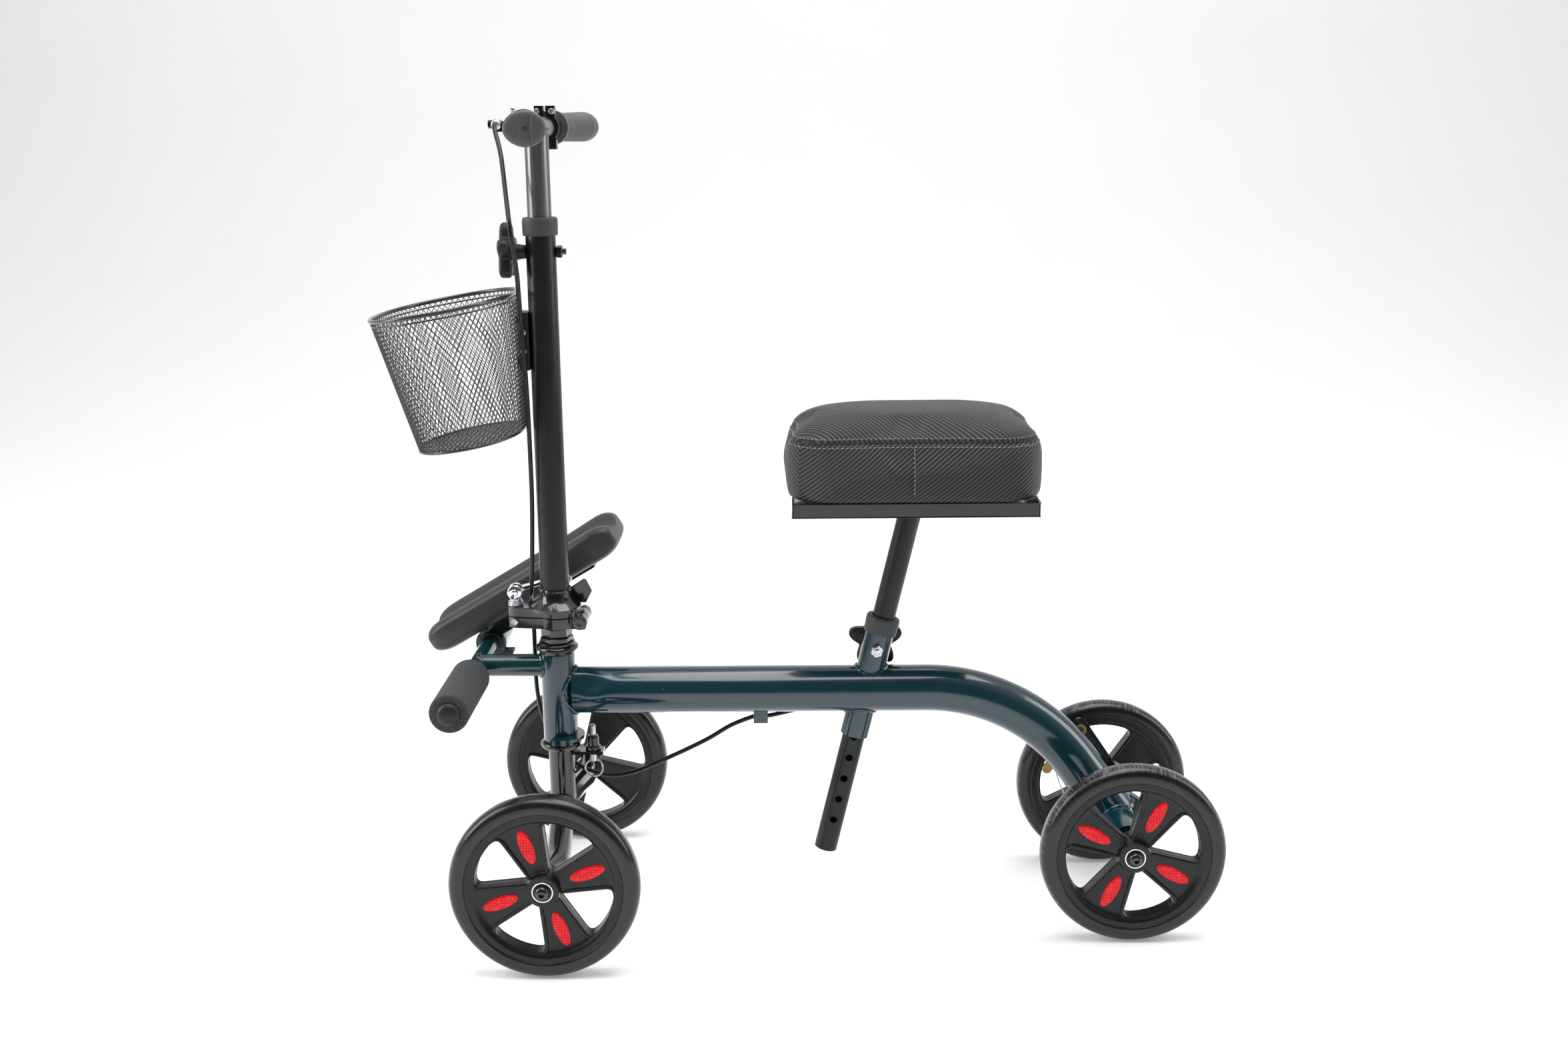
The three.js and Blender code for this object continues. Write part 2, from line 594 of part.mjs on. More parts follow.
function handlebar() {
  const bar = [
    rod(barPoint(-BAR_HALF), barPoint(-BAR_STRAIGHT), BAR_RADIUS, ROUND),
    rod(barPoint(-BAR_STRAIGHT - 0.5), barPoint(BAR_STRAIGHT + 0.5), BAR_RADIUS, ROUND),
    rod(barPoint(BAR_STRAIGHT), barPoint(BAR_HALF), BAR_RADIUS, ROUND),
  ];
  const stem = rodZ(STEER_X, 0, STEM_FOOT, BAR_Z, STEM_RADIUS, FINE);
  const bore = rodZ(STEER_X, 0, STEM_FOOT - 5, BAR_Z - 20, STEM_RADIUS - 1.6, ROUND);
  const holes = [];
  for (let z = HEIGHT_BOLT_Z - 4 * 25.4; z <= HEIGHT_BOLT_Z; z += 25.4) {
    holes.push(rodX(0, z, STEER_X - 20, STEER_X + 20, 4.2, HOLE));
  }
  return cut(join(...bar, stem), bore, ...holes);
}

function grip(side) {
  const inner = side * 96;
  const outer = side * (BAR_HALF + 4);
  const sections = [
    [inner, 15.5, 0],
    [side * 125, 15.5, 1],
    [side * 205, 19.5, 6],
    [outer, 14, 4],
  ];
  const parts = [];
  for (let i = 0; i + 1 < sections.length; i += 1) {
    const [y0, r0, o0] = sections[i];
    const [y1, r1, o1] = sections[i + 1];
    const a = barPoint(y0).add(point(o0, 0, 0));
    const b = barPoint(y1).add(point(o1, 0, 0));
    parts.push(rod(a, b, r0, 20, r1));
  }
  const bore = rod(barPoint(side * 80), barPoint(side * (BAR_HALF + 0.3)), BAR_RADIUS + GAP, ROUND);
  return cut(join(...parts), bore);
}

// The brake lever's perch on the far half of the bar: a split clamp with two ears above and one below, and in front of
// it a slotted pivot block and the cable's barrel.
function brakePerch() {
  const band = rodY(STEER_X, BAR_Z, 62, 76, BAR_RADIUS + 4.2, FINE);
  const clampEars = [
    block(STEER_X - 11, STEER_X - 1.2, 63, 75, BAR_Z + 12, BAR_Z + 23),
    block(STEER_X + 1.2, STEER_X + 11, 63, 75, BAR_Z + 12, BAR_Z + 23),
    block(STEER_X - 2, STEER_X + 12, 63, 75, BAR_Z - 23, BAR_Z - 12),
  ];
  const arm = block(STEER_X - 42, STEER_X - 8, 64, 92, BAR_Z - 7, BAR_Z + 7);
  const pivotEar = block(STEER_X - 46, STEER_X - 26, 91, 104, BAR_Z - 7, BAR_Z + 7);
  const bridge = block(STEER_X - 52, STEER_X - 40, 62, 76, BAR_Z - 4, BAR_Z + 7);
  const barrel = rodY(STEER_X - 50, BAR_Z + 4, 50, 74, 5, SMALL);
  const barrelNut = rod(point(STEER_X - 53, 58, BAR_Z + 4), point(STEER_X - 60, 58, BAR_Z + 4), 4.4, 6);
  return cut(
    join(band, ...clampEars, arm, pivotEar, bridge, barrel, barrelNut),
    rodY(STEER_X, BAR_Z, 55, 80, BAR_RADIUS + GAP, ROUND),
    rod(barPoint(BAR_STRAIGHT - 1), barPoint(95), BAR_RADIUS + 0.6, ROUND),
    block(STEER_X - 1.2, STEER_X + 1.2, 60, 80, BAR_Z + 8, BAR_Z + 30),
    block(STEER_X - 54, STEER_X - 25, 82.2, 110, BAR_Z - 4, BAR_Z + 4),
    rodZ(LEVER_PIVOT.x, LEVER_PIVOT.y, BAR_Z - 10, BAR_Z + 10, 2.8, HOLE),
    rodZ(PARKING_PIN.x, PARKING_PIN.y, BAR_Z, BAR_Z + 10, 2.3, HOLE),
  );
}

function brakeLever() {
  const pivot = LEVER_PIVOT;
  const knuckle = rodZ(pivot.x, pivot.y, BAR_Z - 2.6, BAR_Z + 2.6, 5.4, SMALL);
  const pin = rodZ(pivot.x, pivot.y, BAR_Z - 8, BAR_Z + 8, 2.5, HOLE);
  const blade = [
    rod(point(STEER_X - 36, 90, BAR_Z), point(STEER_X - 47, 118, BAR_Z), 2.6, 12, 4.5),
    rod(point(STEER_X - 47, 116, BAR_Z), point(STEER_X - 45, 186, BAR_Z), 4.5, 12, 5),
    rod(point(STEER_X - 45, 185, BAR_Z), point(STEER_X - 49, 200, BAR_Z), 5, 12, 5.5),
  ];
  return join(knuckle, pin, ...blade);
}

function parkingPin() {
  const shaft = rodZ(PARKING_PIN.x, PARKING_PIN.y, BAR_Z + 6.2, BAR_Z + 20, 2, HOLE);
  const head = rodZ(PARKING_PIN.x, PARKING_PIN.y, BAR_Z + 19, BAR_Z + 22, 3.6, SMALL);
  return join(shaft, head);
}

// ---------------------------------------------------------------- basket
// The tapered oval tub, grown inwards by inset; its own mouth is up, and then it leans forward.
function basketHull(inset, floorLift = 0, mouthRise = 0) {
  const steps = 20;
  const bulge = (value) => Math.sign(value) * Math.abs(value) ** 0.75;
  const ring = (depth, width, height, offset) => {
    const points = [];
    for (let i = 0; i < steps; i += 1) {
      const angle = (2 * Math.PI * i) / steps;
      const x = offset + (depth / 2 - inset) * bulge(Math.cos(angle));
      const y = (width / 2 - inset) * bulge(Math.sin(angle));
      points.push(point(x, y, height));
    }
    return points;
  };
  const floorMiddle = -BASKET_BOTTOM_DEPTH / 2 - BASKET_FLOOR_SETBACK;
  const lower = ring(BASKET_BOTTOM_DEPTH, BASKET_BOTTOM_WIDTH, -BASKET_HEIGHT + floorLift, floorMiddle);
  const upper = ring(BASKET_TOP_DEPTH, BASKET_TOP_WIDTH, mouthRise, -BASKET_TOP_DEPTH / 2);
  const middles = [point(-60, 0, -BASKET_HEIGHT + floorLift), point(-60, 0, mouthRise)];
  const positions = [...lower, ...upper, ...middles];
  const faces = [];
  for (let i = 0; i < steps; i += 1) {
    const next = (i + 1) % steps;
    faces.push(i, next, steps + i, next, steps + next, steps + i);
    faces.push(2 * steps, next, i, 2 * steps + 1, steps + i, steps + next);
  }
  const geometry = new THREE.BufferGeometry().setFromPoints(positions);
  geometry.setIndex(faces);
  return geometry.rotateY(-BASKET_TILT).translate(BASKET_BACK.x, BASKET_BACK.y, BASKET_BACK.z);
}

function basket() {
  return cut(basketHull(0), basketHull(BASKET_SHEET, BASKET_SHEET, 1));
}

// ---------------------------------------------------------------- seat
function seatPost() {
  const tube = rod(postPoint(0), POST_HEAD, POST_RADIUS, FINE);
  const head = block(POST_HEAD.x - 40, POST_HEAD.x + 40, -24, 24, 459, TRAY_BOTTOM - GAP);
  const tools = [rod(postPoint(-5), postPoint(385), POST_RADIUS - POST_WALL, ROUND)];
  for (let i = 0; i < POST_HOLE_COUNT; i += 1) {
    const centre = postPoint(POST_FIRST_HOLE + i * POST_HOLE_PITCH);
    tools.push(rodY(centre.x, centre.z, -20, 20, POST_HOLE_RADIUS, HOLE));
  }
  return cut(join(tube, head), ...tools);
}

function seatTray() {
  const outer = block(TRAY_X0, TRAY_X1, -TRAY_HALF_WIDTH, TRAY_HALF_WIDTH, TRAY_BOTTOM, TRAY_TOP);
  const inner = block(
    TRAY_X0 + TRAY_SHEET,
    TRAY_X1 - TRAY_SHEET,
    -TRAY_HALF_WIDTH + TRAY_SHEET,
    TRAY_HALF_WIDTH - TRAY_SHEET,
    TRAY_BOTTOM + TRAY_SHEET,
    TRAY_TOP + 5,
  );
  return cut(outer, inner);
}

function kneeCushion() {
  const halfX = (CUSHION_X1 - CUSHION_X0) / 2;
  const middle = (CUSHION_X1 + CUSHION_X0) / 2;
  const halfY = CUSHION_HALF_WIDTH;
  const inset = CUSHION_ROUND;
  const shape = roundedRectangle(halfX - inset, halfY - inset, CUSHION_CORNER - inset);
  const body = new THREE.ExtrudeGeometry(shape, {
    depth: CUSHION_TOP - TRAY_TOP - GAP - 2 * CUSHION_ROUND,
    bevelEnabled: true,
    bevelThickness: CUSHION_ROUND,
    bevelSize: CUSHION_ROUND,
    bevelSegments: 2,
    curveSegments: 4,
  });
  return body.translate(middle, 0, TRAY_TOP + GAP + CUSHION_ROUND);
}

function seatKnob() {
  const centre = postPoint(246);
  const knob = starKnob(5, 29, 5.5, 12, HOLE);
  knob.rotateX(-Math.PI / 2).translate(centre.x, SLEEVE_RADIUS + 5, centre.z);
  const boss = rodY(centre.x, centre.z, SLEEVE_RADIUS + 1, SLEEVE_RADIUS + 7, 8, SMALL);
  return join(knob, boss);
}

// ---------------------------------------------------------------- leg rest
// Turns a shape drawn flat, along X and about its own middle, into the leg rest's sloping place.
function slope(geometry) {
  return geometry.rotateY(-PAD_TILT).translate(PAD_CENTRE.x, PAD_Y, PAD_CENTRE.z);
}

function legRestPad() {
  const shape = roundedRectangle(PAD_LENGTH / 2 - 8, PAD_HALF_WIDTH - 8, PAD_CORNER);
  const body = new THREE.ExtrudeGeometry(shape, {
    depth: PAD_THICKNESS - 16,
    bevelEnabled: true,
    bevelThickness: 8,
    bevelSize: 8,
    bevelSegments: 2,
    curveSegments: 3,
  }).translate(0, 0, -PAD_THICKNESS / 2 + 8);
  const troughZ = PAD_THICKNESS / 2 + PAD_TROUGH_RADIUS - PAD_TROUGH_DEPTH;
  const trough = rodX(0, troughZ, -PAD_LENGTH, PAD_LENGTH / 2 - 34, PAD_TROUGH_RADIUS, 30);
  return slope(cut(body, trough));
}

// The plate under the pad, with two cheeks that hold it to the crossbar.
function legRestBracket() {
  const underside = -PAD_THICKNESS / 2 - GAP;
  const plate = block(-62, 84, -26, 26, underside - 3, underside);
  const cheeks = [
    block(-62, -14, -26, -23, underside - 16, underside - 2),
    block(-62, -14, 23, 26, underside - 16, underside - 2),
  ];
  const sloped = slope(join(plate, ...cheeks));
  const hoop = rodY(CROSSBAR_X, CROSSBAR_Z, PAD_Y - 26, PAD_Y + 26, CROSSBAR_RADIUS + 7, FINE);
  return cut(
    join(sloped, hoop),
    rodY(CROSSBAR_X, CROSSBAR_Z, PAD_Y - 40, PAD_Y + 40, CROSSBAR_RADIUS + 3.6, FINE),
  );
}

function legRestBush() {
  const profile = [
    [CROSSBAR_RADIUS + GAP, PAD_Y - 30],
    [CROSSBAR_RADIUS + 3.2, PAD_Y - 30],
    [CROSSBAR_RADIUS + 3.2, PAD_Y + 30],
    [CROSSBAR_RADIUS + GAP, PAD_Y + 30],
  ];
  return ringY(profile, FINE, CROSSBAR_X, 0, CROSSBAR_Z);
}

// ---------------------------------------------------------------- wheels
function windowShape() {
  const half = THREE.MathUtils.degToRad(WINDOW_HALF_ANGLE);
  const outerHalf = WINDOW_OUTER_RADIUS * Math.sin(half);
  const outerX = WINDOW_OUTER_RADIUS * Math.cos(half);
  const shape = new THREE.Shape();
  shape.moveTo(WINDOW_INNER_RADIUS, -WINDOW_CORNER * 0.4);
  shape.lineTo(outerX - WINDOW_CORNER, -outerHalf + WINDOW_CORNER * 0.4);
  shape.quadraticCurveTo(outerX, -outerHalf - 1, outerX + 4, -outerHalf + WINDOW_CORNER);
  shape.absarc(0, 0, WINDOW_OUTER_RADIUS, -half * 0.62, half * 0.62, false);
  shape.quadraticCurveTo(outerX, outerHalf + 1, outerX - WINDOW_CORNER, outerHalf - WINDOW_CORNER * 0.4);
  shape.lineTo(WINDOW_INNER_RADIUS, WINDOW_CORNER * 0.4);
  shape.quadraticCurveTo(WINDOW_INNER_RADIUS - 3, 0, WINDOW_INNER_RADIUS, -WINDOW_CORNER * 0.4);
  return shape;
}

// A wheel centre: a wide outer band, a thin web with four windows and a long hub.
function wheelRim(x, y, spokeAngle) {
  const profile = [
    [HUB_BORE, -HUB_HALF_WIDTH],
    [HUB_RADIUS, -HUB_HALF_WIDTH],
    [HUB_RADIUS + 3, -7],
    [76, -6],
    [TYRE_INNER_RADIUS - GAP, -12],
    [TYRE_INNER_RADIUS - GAP, 12],
    [76, 6],
    [HUB_RADIUS + 3, 7],
    [HUB_RADIUS, HUB_HALF_WIDTH],
    [HUB_BORE, HUB_HALF_WIDTH],
  ];
  const disc = ringY(profile, WHEEL_STEPS, 0, 0, 0);
  const windows = [];
  for (let i = 0; i < WINDOW_COUNT; i += 1) {
    const angle = THREE.MathUtils.degToRad(spokeAngle + 45 + (360 / WINDOW_COUNT) * i);
    const opening = extruded(windowShape(), 40, 3).rotateX(Math.PI / 2).translate(0, 20, 0);
    windows.push(opening.rotateY(-angle));
  }
  return cut(disc, ...windows).translate(x, y, WHEEL_RADIUS);
}

// The tread's flats touch the ground, so the polygon is drawn round the wheel's circle, not inside it.
function tyre(x, y) {
  const outer = WHEEL_RADIUS / Math.cos(Math.PI / WHEEL_STEPS);
  const profile = [
    [TYRE_INNER_RADIUS, -TYRE_HALF_WIDTH + 1],
    [93, -TYRE_HALF_WIDTH],
    [outer, -TYRE_FLAT_HALF],
    [outer, TYRE_FLAT_HALF],
    [93, TYRE_HALF_WIDTH],
    [TYRE_INNER_RADIUS, TYRE_HALF_WIDTH - 1],
  ];
  return ringY(profile, WHEEL_STEPS, x, y, WHEEL_RADIUS);
}

function brakeDrum() {
  const inner = REAR_TRACK / 2 - HUB_HALF_WIDTH;
  const profile = [
    [HUB_RADIUS + 8.6, inner + 1.2],
    [33, inner + 1.2],
    [33, inner + 10.8],
    [HUB_RADIUS + 8.6, inner + 10.8],
  ];
  return ringY(profile, FINE, REAR_AXLE_X, 0, WHEEL_RADIUS);
}

// The brake arm hangs on the backplate's stud, ahead of the axle; the cable pulls its far end.
function brakeArm() {
  const [y0, y1] = [BRAKE_ARM_INNER_Y, BRAKE_ARM_OUTER_Y];
  const eye = rodY(BRAKE_PIVOT.x, BRAKE_PIVOT.z, y0, y1, 7, SMALL);
  const tip = rodY(BRAKE_TIP.x, BRAKE_TIP.z, y0, y1, 6, SMALL);
  const length = BRAKE_PIVOT.distanceTo(BRAKE_TIP);
  const strap = extruded(roundedRectangle(length / 2, 5.5, 2), y1 - y0).rotateX(Math.PI / 2);
  strap.rotateY(-Math.atan2(BRAKE_TIP.z - BRAKE_PIVOT.z, BRAKE_TIP.x - BRAKE_PIVOT.x));
  strap.translate((BRAKE_PIVOT.x + BRAKE_TIP.x) / 2, y1, (BRAKE_PIVOT.z + BRAKE_TIP.z) / 2);
  const pinch = rodY(BRAKE_TIP.x + 9, BRAKE_TIP.z + 11, y0 - 5, y0 + 1, 4.5, 6);
  const bore = rodY(BRAKE_PIVOT.x, BRAKE_PIVOT.z, y0 - 5, y1 + 5, BRAKE_STUD_RADIUS + GAP, SMALL);
  return cut(join(eye, tip, strap, pinch), bore);
}

// ---------------------------------------------------------------- brake cable
// The cable's route, in three stretches: the handlebar's, the column's, and the frame's.
const CABLE_RADIUS = 2.5;
const UPPER_ROUTE = [
  [-366, 49, 872],
  [-366, 40, 871],
  [-363, 26, 863],
  [-355, 6, 840],
  [-347, -22, 800],
  [-340, -48, 768],
  [-337, -38, 725],
];
const COLUMN_ROUTE = [
  [-337, -37.6, 724],
  [-337, -30, 700],
  [-337, -24, 670],
  [-336, -22, 640],
  [-335, -18, 600],
  [-335, -13, 540],
  [-336, -8, 470],
  [-339, -4, 410],
  [-341, -1, 384],
  [-342.5, 3, 368],
  [-345, 11, 360.5],
];
const LOWER_ROUTE = [
  [-345.4, 12, 360],
  [-347, 19.5, 357],
  [-347, 26, 350],
  [-347, 29, 338],
  [-346, 30, 318],
  [-346, 30, 290],
  [-346, 30, 250],
  [-343, 32, 222],
  [-336, 34, 196],
  [-320, 34, 168],
  [-300, 32, 150],
  [-268, 28, 140],
  [-238, 24, 145],
  [-202, 18, 162],
  [-154, 10, 188],
  [-124, 7, 207],
  [-108, 6, 215],
];
const REAR_ROUTE = [
  [-107.4, 6, 215.3],
  [-98, 6, 217.9],
  [-90, 6, 218.3],
  [-80, 6.5, 218.6],
  [-60, 14, 220.5],
  [-30, 25, 224],
  [20, 33, 232],
  [80, 34, 232],
  [140, 36, 222],
  [190, 42, 200],
  [225, 55, 178],
  [245, 66, 160],
  [252, 71, 148],
];

function cable(route, steps) {
  const curve = new THREE.CatmullRomCurve3(route.map(([x, y, z]) => point(x, y, z)));
  return swept(curve, CABLE_RADIUS, 8, steps);
}

// ---------------------------------------------------------------- assembly
function addFrame() {
  add("main_frame", mainFrame(), TEAL);
  add("upper_headset_cup", headsetCup(HEAD_TUBE_TOP + GAP, 306, 301, 306, 23.5), BLACK_PAINT);
  add("lower_headset_cup", headsetCup(186.6, HEAD_TUBE_BOTTOM - GAP, 186.6, 191.6, 22.5), BLACK_PAINT);
  add("foam_roller", foamRoller(), FOAM);
  add("foam_roller_plug", rollerPlug(), PLASTIC);
  add("seat_collar", seatCollar(), PLASTIC);
  add("seat_nut", seatNut(), ZINC);
  add("cable_clip", cableClip(), TEAL);
  add("brake_backplate", brakeBackplate(), BLACK_PAINT);
  add("rear_axle_bolt_near", axleBolt(REAR_AXLE_X, -1, 62, 123.6), BLACK_PAINT);
  add("rear_axle_bolt_far", axleBolt(REAR_AXLE_X, 1, 62, 123.6), BLACK_PAINT);
}

function addFork() {
  add("fork", fork(), BLACK_PAINT);
  add("headset_nuts", headsetNuts(), BLACK_PAINT);
  add("clamp_base", clampBase(), BLACK_PAINT);
  add("clamp_pin", clampPin(), ZINC);
  add("hinge_bolt", hingeBolt(), BLACK_PAINT);
  add("steering_lock_housing", lockHousing(), BLACK_PAINT);
  add("steering_lock_pin", lockPin(), ZINC);
  add("front_axle_bolt_near", axleBolt(FRONT_AXLE_X, -1, 140, 200.6), BLACK_PAINT);
  add("front_axle_bolt_far", axleBolt(FRONT_AXLE_X, 1, 140, 200.6), BLACK_PAINT);
}

function addColumn() {
  add("column_tube", columnTube(), BLACK_PAINT);
  add("clamp_top", clampTop(), BLACK_PAINT);
  add("clamp_eyebolt", clampEyebolt(), ZINC);
  add("clamp_lever", clampLever(), CHROME);
  add("column_collar", columnCollar(), PLASTIC);
  add("height_nut", heightNut(), ZINC);
  add("height_knob", heightKnob(), PLASTIC);
  add("basket_bracket", basketBracket(), PLASTIC);
  add("basket", basket(), BLACK_PAINT);
}

function addHandlebar() {
  add("handlebar", handlebar(), DARK_STEEL);
  add("near_grip", grip(-1), RUBBER);
  add("far_grip", grip(1), RUBBER);
  add("brake_perch", brakePerch(), PLASTIC);
  add("brake_lever", brakeLever(), BLACK_PAINT);
  add("parking_lock_pin", parkingPin(), ZINC);
}

function addSeat() {
  add("seat_post", seatPost(), DARK_STEEL);
  add("seat_tray", seatTray(), BLACK_PAINT);
  add("knee_cushion", kneeCushion(), VINYL);
  add("seat_knob", seatKnob(), PLASTIC);
}

function addLegRest() {
  add("leg_rest_pad", legRestPad(), RUBBER);
  add("leg_rest_bracket", legRestBracket(), BLACK_PAINT);
  add("leg_rest_bush", legRestBush(), RUBBER);
}

function addWheels() {
  const places = [
    ["front_near", FRONT_AXLE_X, -FRONT_TRACK / 2, 19.6],
    ["front_far", FRONT_AXLE_X, FRONT_TRACK / 2, 62],
    ["rear_near", REAR_AXLE_X, -REAR_TRACK / 2, 61.75],
    ["rear_far", REAR_AXLE_X, REAR_TRACK / 2, 41],
  ];
  for (const [name, x, y, spokeAngle] of places) {
    add(`rim_${name}`, wheelRim(x, y, spokeAngle), PLASTIC);
    add(`tyre_${name}`, tyre(x, y), TYRE);
  }
}

function addBrake() {
  add("brake_drum", brakeDrum(), ZINC);
  add("brake_arm", brakeArm(), BRASS_ZINC);
  add("brake_cable_upper", cable(UPPER_ROUTE, 10), PLASTIC);
  add("brake_cable_column", cable(COLUMN_ROUTE, FINE), PLASTIC);
  add("brake_cable_lower", cable(LOWER_ROUTE, 32), PLASTIC);
  add("brake_cable_rear", cable(REAR_ROUTE, 24), PLASTIC);
}

addFrame();
addFork();
addColumn();
addHandlebar();
addSeat();
addLegRest();
addWheels();
addBrake();

root.updateMatrixWorld(true);
const extent = new THREE.Box3().setFromObject(root);
root.position.x = -(extent.min.x + extent.max.x) / 2;
root.position.y = -(extent.min.y + extent.max.y) / 2;

export default root;
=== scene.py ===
"""The looks of the knee scooter, as separate pieces that ride on its moving bodies.

The scooter faces -X, the rider's left side is -Y and Z is up. Lengths in the shape functions are in
millimetres, and at() turns a point measured from the middle of the wheelbase into a place in metres.
"""

import json
import math

